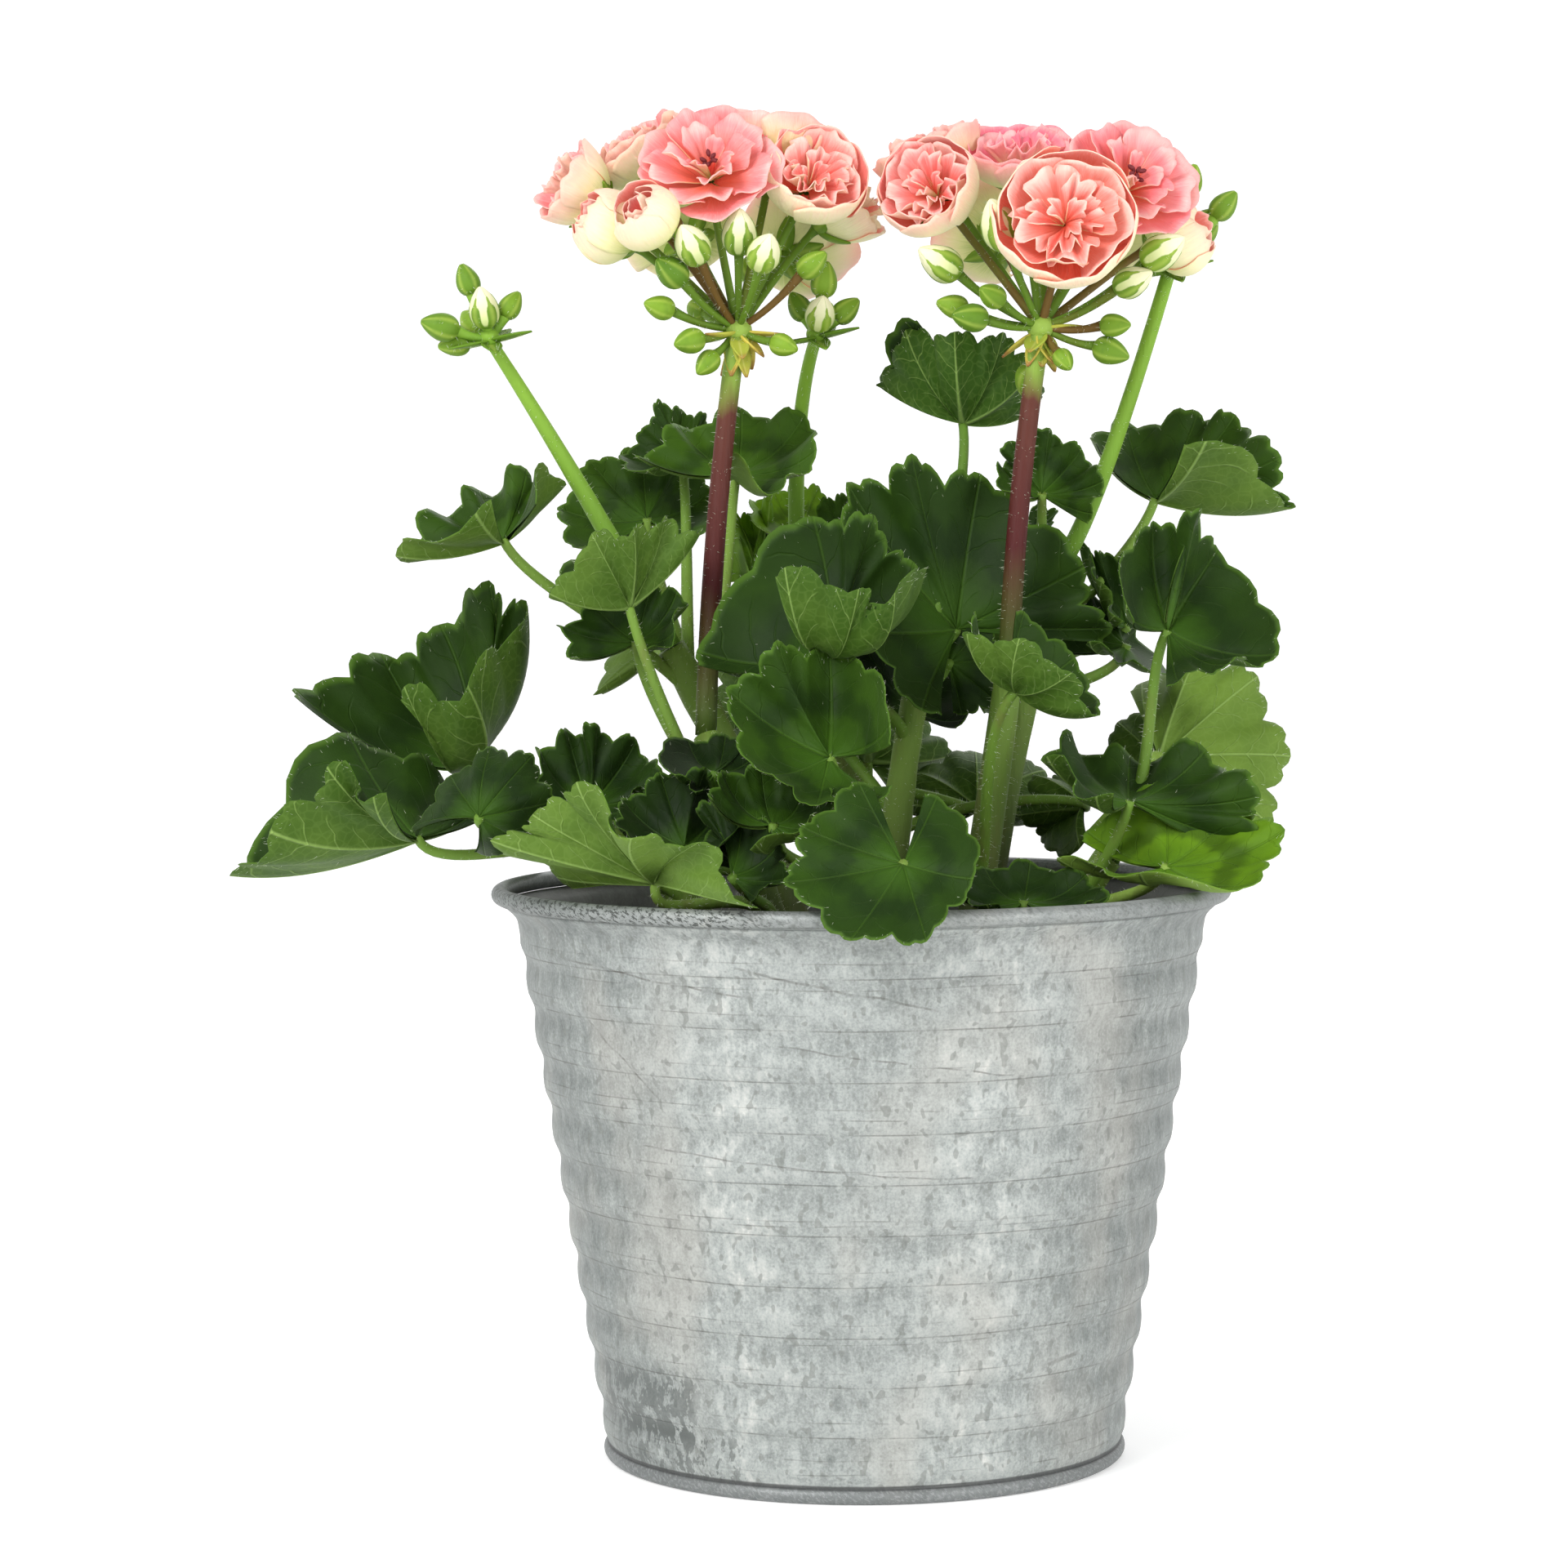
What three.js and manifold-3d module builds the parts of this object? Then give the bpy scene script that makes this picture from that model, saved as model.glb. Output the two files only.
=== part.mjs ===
// Zonal geranium in a ribbed zinc pot. Millimetres, +Z up; the middle of the pot on the table is the
// origin and the front of the plant looks to -Y.
import * as THREE from 'three';
import { mergeVertices } from 'three/addons/utils/BufferGeometryUtils.js';
import ManifoldModule from 'manifold-3d';

// Pot
const FOOT_BEAD = 63.6; // outer radius of the bead round the foot
const RIM_RADIUS = 90; // outer edge of the rolled rim
const POT_HEIGHT = 140; // table to the top of the rolled rim
const ROLL_RADIUS = 2.1; // the sheet rolled over at the rim
const FOOT_RADIUS = 61.7; // middle of the wall, carried down to the table
const WALL_TAPER = 0.1633; // growth of the wall's radius for each mm of height
const LIP_HEIGHT = 132.5; // where the wall turns out to the rim
const SHEET = 0.9; // least thickness of the wall
const RIB_COUNT = 10;
const RIB_START = 5; // height of the lowest rib's foot
const RIB_PITCH = 12;
const RIB_BULGE = 0.45; // how far a rib stands out and the valley above it goes in
const BASE_PLATE = 1.2;
const SOIL_TOP = 114;
const POT_SIDES = 26;

// Plant
const STEM_DEPTH = 104; // the stems go down to this height in the soil
const STEM_FREE = 118; // they rise straight up to here
const STEM_SIDES = 6;
const STEM_CLEARANCE = 0.3; // each stem stands this free in its hole
const SEAT_GAP = 0.3; // between a flower stalk and its stem, and a bloom and its stalk
const BLADE = 0.9; // thickness of a leaf or petal
const LEAF_STALK = [1.7, 1.3]; // radius at the stem and at the blade
const FORWARD = 0.6; // how much of a lobe's hidden reach goes into depth
const HUB_INSIDE = 2.6; // how far from the hub's middle a flower's stalk starts
const LOBES = 7;
const LARGE_LEAF = 29; // leaves of more reach than this have three edge points a lobe, the others two
const SMALL_LEAF = 20; // leaves of no more reach than this are flat from the join to the edge

// Each leafy stem: three points on its way up and its radius at both ends.
const STEMS = {
  left: { way: [[-28, -10], [-40, -14, 134], [-56, -16, 150]], radius: [3.8, 2.6] },
  front_left: { way: [[-16, -24], [-26, -20, 146], [-37, -10, 176]], radius: [3.8, 3.2] },
  front: { way: [[6, -30], [1, -38, 138], [-5, -42, 162]], radius: [3.4, 2.4] },
  upper_left: { way: [[-14, 10], [-27, 9, 158], [-46, 6, 197]], radius: [5, 3.6] },
  middle: { way: [[6, 4], [9, 4, 155], [15, 2, 192]], radius: [4.2, 3] },
  right_stem: { way: [[25, -8], [31, -7, 155], [36, -6, 190]], radius: [4.2, 3.4] },
  upper_right: { way: [[28, 12], [37, 16, 168], [49, 24, 215]], radius: [4.6, 3] },
  right: { way: [[42, -14], [50, -16, 132], [60, -16, 146]], radius: [3.6, 2.6] },
  back: { way: [[4, 34], [-2, 40, 160], [-15, 40, 205]], radius: [4.2, 2.8] },
};

// The leaves of each stem: where the blade joins its stalk, its reach from there, how far up the stem
// the stalk starts, and its seven lobe tips. A tip says how far it lies to the right and up from the
// join in the front view and which way its depth goes: 1 to the back, -1 to the front. The lobes run
// anticlockwise seen from the upper side. Bow hollows the blade, ruffle waves its edge, arch lifts it.
const LEAVES = {
  left: [
    { name: 'left_tip', at: [-106, -22, 153], reach: 45, root: 0.8, bow: 0.05,
      tips: [[17, 9, 1], [4, 12, 1], [-19, 24, 1], [-45, -9, 0],
        [-32, 3, -1], [-18, 18, -1], [-7, 11, -1]] },
    { name: 'left_disc', at: [-89, -46, 159], reach: 24, root: 0.45, bow: -0.12,
      tips: [[0, -10, 1], [12, -7, 1], [17, 3, 1], [12, 14, 1], [2, 16, 1], [-8, 9, 1], [-17, -3, 1]] },
    { name: 'left_screen', at: [-72, 26, 152], reach: 22, root: 0.6,
      tips: [[-10, -9, 1], [-19, -3, 1], [-16, 8, 1], [-3, 13, 1],
        [12, 11, 1], [18, 1, 1], [10, -9, 1]] },
    { name: 'left_funnel', at: [-99, 8, 168], reach: 44, root: 1, bow: 0.15,
      tips: [[-10, 21, -1], [5, 21, -1], [17, 41, 1], [8, 46, 0],
        [-6, 35, 1], [-21, 28, 1], [-40, 20, 1]] },
  ],
  front_left: [
    { name: 'pale_funnel', at: [-55, -20, 208], reach: 23, root: 0.45, bow: 0.05,
      tips: [[-9, 10, 1], [-18, 3, -1], [-8, 17, -1], [2, 18, -1],
        [9, 21, -1], [18, 18, 0], [12, 15, 1]] },
    { name: 'left_ruffle', at: [-65, -18, 160], reach: 24, root: 0.5, ruffle: 0.12,
      tips: [[10, 1, -0.6], [18, 7, 0], [11, 15, 1], [2, 19, 0.6],
        [-6, 18, 1], [-13, 14, 0.3], [-9, 2, -0.6]] },
    { name: 'rim_pale', at: [-47, -60, 145], reach: 34, root: 0.25, arch: 3,
      tips: [[-24, 0, 1], [-38, 10, 0.3], [-28, 16, -0.3], [-17, 24, -1],
        [-4, 12, -1.2], [11, 11, -1.3], [23, -3, -1.9]] },
    { name: 'rim_dark', at: [-30, -60, 146], reach: 24, root: 0.2,
      tips: [[6, -4, -0.6], [14, 1, -0.6], [11, 8, 0], [2, 19, 1], [-7, 17, 1], [-6, 9, 1], [-4, 3, 1]] },
    { name: 'nook', at: [-41, -47, 152], reach: 20, root: 0.4,
      tips: [[7, -1, -1], [9, 9, 1], [5, 18, 1], [-6, 17, 1], [-15, 11, 1], [-15, 5, -1], [-9, -2, -1]] },
    { name: 'under_funnel', at: [-54, -7, 199], reach: 20, root: 0.5, ruffle: 0.12,
      tips: [[3, -5, -1], [10, 3, -1], [10, 12, 0.5], [4, 15, 0.5],
        [-10, 9, 0], [-19, 4, -1], [-15, -4, -1]] },
    { name: 'base_dark', at: [-34, -35, 169], reach: 20, root: 0.8,
      tips: [[8, -3, -1], [11, 5, 1], [9, 8, 1], [2, 8, 1], [-7, 7, 1], [-9, 0, -1], [-4, -4, -1]] },
  ],
  front: [
    { name: 'cup_low', at: [-20, -58, 158], reach: 18, root: 0.5, bow: 0.2,
      tips: [[-4, -4, -1], [8, 1, -1], [14, 5, -1], [8, 11, 1],
        [-3, 13, 1], [-12, 12, 1], [-15, 7, -1]] },
    { name: 'front_open', at: [9.5, -84, 150.5], reach: 28, root: 0.3, bow: 0.02,
      tips: [[-10, 17.5, 1], [-23, 8, 0.5], [-27, -4, -0.6], [-12, -16, -1],
        [5, -16, -1], [15.5, -3, -0.4], [8, 14.5, 0.8]] },
    { name: 'centre_open', at: [-7, -52, 173], reach: 29, root: 0.95,
      tips: [[14, 8, -1], [0, 24, 1], [-12, 27, 0], [-24, 16, 1],
        [-16, -2, -1], [-3, -10, -1], [13, -8, -1]] },
  ],
  middle: [
    { name: 'big_base', at: [22, 5, 193], reach: 18, root: 0.85, bow: 0.05,
      tips: [[3, -13, 0.3], [13, -11, 0.3], [15, 1, 0.4], [9, 10, 0.5],
        [-1, 11, 0.5], [-9, 2, 0.5], [-7, -12, 0.3]] },
    { name: 'big_dark', at: [24, 8, 201], reach: 42, root: 1, bow: 0.05,
      tips: [[38, 0, -0.1], [31, 15, -0.15], [6, 38, 0.5], [-11, 43, 0],
        [-27, 36, 0], [-25, 1, -1], [-9, -19, -1]] },
    { name: 'cup_centre', at: [-8, -34, 199], reach: 36, root: 0.75, bow: 0.2,
      tips: [[-9, 18, -1], [8, 13, -1], [16, 12, -1], [21, 19, 1],
        [12, 30, 1], [-3, 30, 1], [-31, -2, 1]] },
    { name: 'fan_top', at: [26, 26, 252], reach: 25, root: 0.95, bow: 0.15,
      tips: [[-15, 26, 0], [-21.5, 9.5, 1], [-14, 23, 0], [-2, 22, -1],
        [10, 22, -1], [19, 16, -1], [20, 6, 1]] },
    { name: 'gap_dark', at: [11, 24, 182], reach: 22, root: 0.6,
      tips: [[15, -3, -1], [13, 9, 1], [9, 17, 1], [-2, 20, 1],
        [-11, 15, 1], [-14, 3, 1], [-9, -5, -1]] },
    { name: 'centre_back', at: [-20, 17, 195], reach: 26, root: 0.5,
      tips: [[13, 2, -1], [14, 16, 1], [10, 24, 0], [0, 22, 1],
        [-8, 15, 1], [-13, 6, 1], [-11, -4, -1]] },
    { name: 'mid_back', at: [-2, 30, 219], reach: 18, root: 0.9,
      tips: [[10, -2, 1], [12, 8, 1], [4, 16, 1], [-2, 16, 1], [-7, 15, 1], [-10, 4, 1], [-7, -6, -1]] },
  ],
  right_stem: [
    { name: 'young_front', at: [37, -40, 188], reach: 21, root: 0.25,
      tips: [[-10, 18, 1], [-12, 13, -1], [0, 12, -1], [12, 4, -1],
        [19, -6, -1], [14, 7, 1], [2, 18, 1]] },
  ],
  upper_left: [
    { name: 'crown_left', at: [-30, 18, 240], reach: 25, root: 0.85, ruffle: 0.1,
      tips: [[-4, 4, -1], [12, -4, -1], [20, 5, -1], [17, 14, 1],
        [1, 16, 1], [-15, 12, 1], [-25, 4, 0]] },
    { name: 'back_broad', at: [-53, 34, 229], reach: 25, root: 0.85,
      tips: [[16, -3, -1], [16, 7, 1], [10, 17, 1], [-2, 18, 1],
        [-15, 15, 1], [-23, 3, 1], [-17, -7, -1]] },
    { name: 'peak_left', at: [-44, 30, 244], reach: 19, root: 0.9,
      tips: [[7, 3, 1], [6, 11, 1], [0, 12, 1], [-6, 15, 1], [-10, 8, 1], [-16, 1, 1], [-8, -3, -1]] },
    { name: 'wing_left', at: [-86, -6, 224], reach: 25, root: 0.8, bow: 0.05, ruffle: 0.12,
      tips: [[9, 13, -1], [12, 15, 1], [5, 17, 1], [-7, 12, 1], [-18, 7, 1], [-26, -4, 0], [-5, 6, -1]] },
    { name: 'pale_tip', at: [-52, 50, 195], reach: 17, root: 0.55,
      tips: [[-8, -6, 1], [-16, -11, 0], [-10, 0, 1], [-5, 4, 1], [2, 6, 1], [7, 2, 1], [4, -4, 1]] },
  ],
  back: [
    { name: 'glow_left', at: [-27, 51, 215], reach: 22, root: 0.7,
      tips: [[-5, -9, 1], [6, -5, -1], [7, 8, 1], [5, 20, 1], [-1, 15, 1], [-6, 17, 1], [-8, 0, 1]] },
    { name: 'glow_mid', at: [-14, 59, 226], reach: 19, root: 0.8,
      tips: [[7, -1, 1], [9, 5, 1], [4, 11, 1], [-2, 12, 1], [-8, 10, 1], [-14, 8, 1], [-7, -1, -1]] },
    { name: 'behind_low', at: [57, 38, 155], reach: 18, root: 0.3,
      tips: [[-2, -9, -1], [-11, -9, 1], [-17, -2, 1], [-13, 8, 1], [-6, 7, 1], [0, 7, 1], [6, 3, 1]] },
    { name: 'back_low_left', at: [-36, 52, 151], reach: 28, root: 0.35,
      tips: [[-12, -2, 1], [-24, 0, 1], [-20, 6, 1], [-3, 10, 1], [16, 8, 1], [22, 0, 1], [12, -2, 1]] },
    { name: 'back_low_right', at: [30, 52, 154], reach: 30, root: 0.45,
      tips: [[-14, -4, 1], [-24, 2, 1], [-18, 9, 1], [0, 14, 1], [18, 9, 1], [24, -1, 1], [11, -4, 1]] },
    { name: 'back_mid_right', at: [24, 58, 196], reach: 28, root: 0.75,
      tips: [[-12, -20, 1], [-26, -6, 1], [-20, 16, 1], [2, 26, 1],
        [20, 16, -1], [26, -4, 1], [12, -18, 1]] },
    { name: 'back_screen', at: [2, 66, 166], reach: 27, root: 0.4,
      tips: [[-12, -12, 1], [-24, 0, 1], [-18, 12, 1], [0, 18, -1],
        [15, 13, 1], [22, 1, 1], [11, -11, 1]] },
    { name: 'back_mid_left', at: [-18, 66, 182], reach: 24, root: 0.6,
      tips: [[-10, -16, 1], [-21, -4, 1], [-17, 13, 1], [0, 22, -1],
        [16, 14, 1], [22, -3, 1], [10, -16, 1]] },
  ],
  upper_right: [
    { name: 'frill', at: [45, 11, 234], reach: 16, root: 0.8, ruffle: 0.16,
      tips: [[12, -5, -1], [15, 3, -1], [10, 11, 1], [2, 16, 1], [-8, 13, 1], [-11, 7, 1], [-6, 1, -1]] },
    { name: 'peep_right', at: [44, 46, 223], reach: 14, root: 0.75,
      tips: [[3, -5, -1], [6, -2, 1], [5, 3, 1], [7, 7, 1], [2, 9, 1], [-3, 4, 1], [-4, -3, -1]] },
    { name: 'wing_right', at: [74, 30, 233], reach: 33, root: 0.75, bow: 0.06,
      tips: [[11, 14, -1], [35, -2, 0], [31, 10, -1], [21, 21, 1],
        [12, 22, 1], [-6, 20, 1], [-16, 15, -0.2]] },
    { name: 'right_small', at: [67, 24, 201], reach: 19, root: 0.7,
      tips: [[2, 6, 1], [3, 16, 1], [0, 19, 0], [-7, 19, 0], [-12, 22, 0], [-7, 11, -1], [-4, 3, -1]] },
    { name: 'mid_fold', at: [66, 14, 197], reach: 22, root: 0.62,
      tips: [[-10, 1, -1], [-1, -4, -1], [3, 3, 1], [0, 10, 1], [-8, 12, 1], [-17, 8, 1], [-22, 0, -1]] },
  ],
  right: [
    { name: 'right_dark', at: [74, -14, 201], reach: 29, root: 1,
      tips: [[1, -12, -1], [13, -8, -1], [25.5, -6, -1], [13, 19, 1],
        [8, 29, 0], [-3, 26, 1], [-11, 6, -1]] },
    { name: 'right_screen', at: [79, 46, 164], reach: 22, root: 0.5,
      tips: [[-9, -10, 1], [-18, -2, 1], [-13, 12, 1], [0, 18, 1],
        [13, 12, 1], [18, 0, 1], [9, -12, 1]] },
    { name: 'right_pale', at: [75, 28, 168], reach: 34, root: 0.85,
      tips: [[-3, 18, 1], [12, 28, 1], [25, 20, 1], [33, 0, 1],
        [28, -18, 1], [4, -26, -1], [-17, -20, -1]] },
    { name: 'right_front', at: [64, -28, 161], reach: 28, root: 0.7, ruffle: 0.1,
      tips: [[30, -11, -1], [31, 1, 0], [19, 11.5, 1], [1, 10, 1],
        [-13, 14, 1], [-20, 11, -0.7], [-9, 2, -1]] },
    { name: 'rim_bright', at: [72, -34, 146], reach: 28, root: 0.4,
      tips: [[-26, 2, -0.7], [-7, -1, -0.7], [21, -3, -1], [28, 8, 0],
        [18, 15, 1], [1, 19, 1], [-18, 7, 1]] },
    { name: 'rim_under', at: [38, -46, 139], reach: 23, root: 0.1,
      tips: [[13, -1, -1], [20, 1, -0.3], [15, 5, 0.6], [2, 8, 0.8],
        [-9, 7, 0.5], [-18, 3, -0.3], [-9, 0, -1]] },
  ],
};

// Flower stalks: the stem each stands on, its way up from there and its radius at both ends.
const FLOWER_STALKS = {
  left: { stem: 'front_left', way: [[-34.5, -4, 225], [-29, 0, 274]], radius: [2.6, 2.3] },
  right: { stem: 'right_stem', way: [[39, -4, 232], [44.5, 0, 274]], radius: [2.6, 2.3] },
};
const BUD_STALKS = {
  left: { stem: 'upper_left', way: [[-68, 3, 237], [-89, -2, 272]], radius: [2.7, 1.4] },
  middle: { stem: 'back', way: [[-15, 34, 246], [-10, 14, 273]], radius: [2.2, 1.5] },
  right: { stem: 'upper_right', way: [[60.5, 19, 239], [77, 20, 289]], radius: [2.3, 1.7] },
};

// Blooms around each hub: the middle of the open face, the way it looks, and its radius.
const BLOOMS = {
  left: [
    { name: 'open', at: [-6, -10, 41], look: [0, -0.75, 0.66], radius: 18, depth: 9 },
    { name: 'rose', at: [20.5, -5, 39.5], look: [0.3, -0.8, 0.5], radius: 12, depth: 13 },
    { name: 'pale', at: [30.5, 15.5, 34], look: [0.8, -0.1, 0.6], radius: 10, depth: 13 },
    { name: 'upper', at: [-27, 11, 48], look: [-0.5, -0.2, 0.8], radius: 13, depth: 12 },
    { name: 'far', at: [-43.5, -1, 37.5], look: [-0.8, -0.2, 0.5], radius: 10, depth: 13 },
    { name: 'lower', at: [-36, -13, 28], look: [-0.8, -0.25, 0.55], radius: 8.5, depth: 14 },
    { name: 'rolled', at: [-24, -25.5, 29], look: [-0.55, -0.65, 0.5], radius: 8, depth: 12 },
    { name: 'behind', at: [9, 14, 50], look: [0.1, 0.3, 0.95], radius: 14, depth: 12 },
    { name: 'back_left', at: [-16, 30, 30], look: [-0.3, 0.8, 0.5], radius: 14, depth: 12 },
    { name: 'back_right', at: [15, 34, 25], look: [0.3, 0.8, 0.4], radius: 14, depth: 12 },
  ],
  right: [
    { name: 'open', at: [23, -8, 37], look: [0.3, -0.75, 0.55], radius: 17, depth: 10 },
    { name: 'front', at: [5, -28, 26], look: [0, -0.95, 0.3], radius: 16, depth: 12 },
    { name: 'rose', at: [-29, -11, 35.5], look: [-0.4, -0.8, 0.4], radius: 12, depth: 13 },
    { name: 'top', at: [-4, 4, 46], look: [0, -0.4, 0.9], radius: 14, depth: 12 },
    { name: 'upper', at: [-28, 15, 47], look: [-0.4, 0.1, 0.9], radius: 13, depth: 12 },
    { name: 'pale', at: [39, 5, 25], look: [0.9, -0.2, 0.4], radius: 10, depth: 13 },
    { name: 'back_left', at: [-13, 32, 27], look: [-0.3, 0.8, 0.4], radius: 14, depth: 12 },
    { name: 'back_right', at: [17, 30, 30], look: [0.3, 0.8, 0.5], radius: 14, depth: 12 },
  ],
};

// Buds around each hub: the middle of the bud and its radius.
const BUDS = {
  left: [
    [[1, -14, 22], 4.6], [[-10, -20, 19], 4.6], [[7, -20, 17], 4.4], [[-15, -17, 13], 3.8],
    [[18, -6, 15], 3.2], [[-18, -10, 5], 3], [[-11, -9, -3], 3.2], [[-7, -6, -8], 2.8],
    [[11, -6, -4], 2.8], [[4, 22, 16], 4.2], [[-10, 18, 6], 3],
  ],
  right: [
    [[-10, -16, 23], 5.4], [[28, -13, 17], 4.6], [[-24, -9, 15], 4.6], [[21, -12, 10], 4],
    [[-17, -10, 2], 3.6], [[-21, -4, 5], 3], [[-12, -12, 7], 3], [[17, -8, 0], 2.9],
    [[16, -6, -6], 3.5], [[5, -7, -8], 2.4], [[-3, 8, -12], 3.3], [[2, 22, 14], 4.2],
  ],
};
const BUD_HEADS = {
  left: [
    [[-5, -1, 14], 3], [[-11, -4, 3], 3.6], [[5, 1, 8], 2.8], [[-1, -3, 7], 4], [[-4, 4, 4], 3.4],
    [[-8, 0, -1], 3],
  ],
  middle: [[[2, -3, 13], 3.4], [[1, -5, 5], 4], [[7, 0, 6], 3], [[-4, 2, 7], 3]],
  right: [[[5, -3, 21], 3], [[13, -2, 15], 3.2], [[7, 0, 10], 3.6], [[3, 3, 12], 2.8], [[9, 4, 9], 3]],
};

// Colour, roughness and metalness of each material.
const FINISHES = {
  zinc: { color: 0x9ba19c, roughness: 0.5, metalness: 0.8 },
  soil: { color: 0x2a2019, roughness: 1, metalness: 0 },
  leaf: { color: 0x3f6b2a, roughness: 0.6, metalness: 0 },
  peduncle: { color: 0x6d4a35, roughness: 0.55, metalness: 0 },
  bud_stalk: { color: 0x86a64b, roughness: 0.6, metalness: 0 },
  petal: { color: 0xf0a58c, roughness: 0.55, metalness: 0 },
};

const kit = await ManifoldModule();
kit.setup();
const { Manifold, Mesh } = kit;

const v = (x, y, z) => new THREE.Vector3(x, y, z);
const along = (from, direction, length) => from.clone().addScaledVector(direction, length);

// A closed body from its corner points and triangles.
function body(points, triangles) {
  return new Manifold(new Mesh({
    numProp: 3,
    vertProperties: Float32Array.from(points.flatMap((p) => [p.x, p.y, p.z])),
    triVerts: Uint32Array.from(triangles.flat()),
  }));
}

// One thick sheet from the points of its upper and lower face, with the same triangles on both and a
// wall along its border, which runs anticlockwise seen from the upper face.
function sheet(upper, lower, triangles, border) {
  const n = upper.length;
  const faces = triangles.concat(triangles.map(([a, b, c]) => [n + a, n + c, n + b]));
  border.forEach((a, i) => {
    const b = border[(i + 1) % border.length];
    faces.push([a, n + a, n + b], [a, n + b, b]);
  });
  return body(upper.concat(lower), faces);
}

// A round bar through the given points, with a radius at each or at both ends.
function bar(points, radii, sides) {
  const corners = [];
  let across = null;
  points.forEach((point, i) => {
    const before = points[Math.max(i - 1, 0)];
    const after = points[Math.min(i + 1, points.length - 1)];
    const tangent = after.clone().sub(before).normalize();
    if (!across) across = Math.abs(tangent.y) > 0.8 ? v(1, 0, 0) : v(0, 1, 0);
    across.addScaledVector(tangent, -across.dot(tangent)).normalize();
    const other = tangent.clone().cross(across);
    const share = i / (points.length - 1);
    const radius = radii.length === points.length ? radii[i] : radii[0] + (radii[1] - radii[0]) * share;
    for (let k = 0; k < sides; k += 1) {
      const angle = (2 * Math.PI * k) / sides;
      const sideways = along(point, across, radius * Math.cos(angle));
      corners.push(along(sideways, other, radius * Math.sin(angle)));
    }
  });
  const faces = [];
  const top = (points.length - 1) * sides;
  for (let i = 0; i < top; i += sides) {
    for (let k = 0; k < sides; k += 1) {
      const next = (k + 1) % sides;
      faces.push([i + k, i + next, i + sides + next], [i + k, i + sides + next, i + sides + k]);
    }
  }
  for (let k = 1; k < sides - 1; k += 1) {
    faces.push([0, k + 1, k], [top, top + k, top + k + 1]);
  }
  return body(corners, faces);
}

// The point at t on a smooth curve that starts at a, passes b half way and ends at c.
function curve(a, b, c, t) {
  const bend = b.clone().multiplyScalar(2).addScaledVector(a, -0.5).addScaledVector(c, -0.5);
  return a.clone().multiplyScalar((1 - t) ** 2)
    .addScaledVector(bend, 2 * t * (1 - t))
    .addScaledVector(c, t * t);
}

function stemPoint({ way: [foot, middle, end] }, t) {
  return curve(v(...foot, STEM_FREE), v(...middle), v(...end), t);
}

const STEM_SHARES = [0, 0.33, 0.67, 1]; // where along its way a stem's bar has its points

function stemBar(stem) {
  const points = STEM_SHARES.map((t) => stemPoint(stem, t));
  return bar([v(...stem.way[0], STEM_DEPTH), ...points], stem.radius, STEM_SIDES);
}

// Where a lobe's tip lies from the leaf's join: its depth follows from its reach.
function lobeTip([right, up, way], reach) {
  const flat = Math.hypot(right, up);
  const full = Math.max(flat, flat + FORWARD * (reach - flat));
  return v(right, way * Math.sqrt(full * full - flat * flat), up);
}

// The way to the blade's edge at turn, from -1 at one side of the notch at the stalk round to 1 at the
// other: a curve through the lobe tips, and the reach there.
function edgeWay(tips, turn) {
  const ends = [
    tips[0].clone().multiplyScalar(2).sub(tips[1]),
    ...tips,
    tips[LOBES - 1].clone().multiplyScalar(2).sub(tips[LOBES - 2]),
  ];
  const place = ((turn + 1) / 2) * LOBES - 0.5;
  const i = Math.min(Math.max(Math.floor(place), 0), LOBES - 2);
  const f = Math.min(Math.max(place - i, -0.22), 1.22);
  const [a, b, c, d] = ends.slice(i, i + 4);
  const way = b.clone().multiplyScalar(2 - 5 * f ** 2 + 3 * f ** 3)
    .addScaledVector(a, -f + 2 * f ** 2 - f ** 3)
    .addScaledVector(c, f + 4 * f ** 2 - 3 * f ** 3)
    .addScaledVector(d, f ** 3 - f ** 2)
    .normalize();
  const share = Math.min(Math.max(f, 0), 1);
  return { way, reach: b.length() * (1 - share) + c.length() * share };
}

// How far the edge goes at turn, as a share of the reach: rounded lobes, small teeth and cut corners.
function edgeShare(turn) {
  const place = ((turn + 1) / 2) * LOBES;
  const t = place - Math.min(Math.floor(place), LOBES - 1);
  const notch = 1 - 0.11 * Math.abs(2 * t - 1) ** 2.4;
  const teeth = 1 + 0.032 * (Math.abs(Math.sin(3 * Math.PI * t)) ** 0.7 - 1);
  const corner = 1 - 0.25 * Math.min(Math.max((Math.abs(turn) - 0.9) / 0.1, 0), 1) ** 2;
  return notch * teeth * corner;
}

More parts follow.
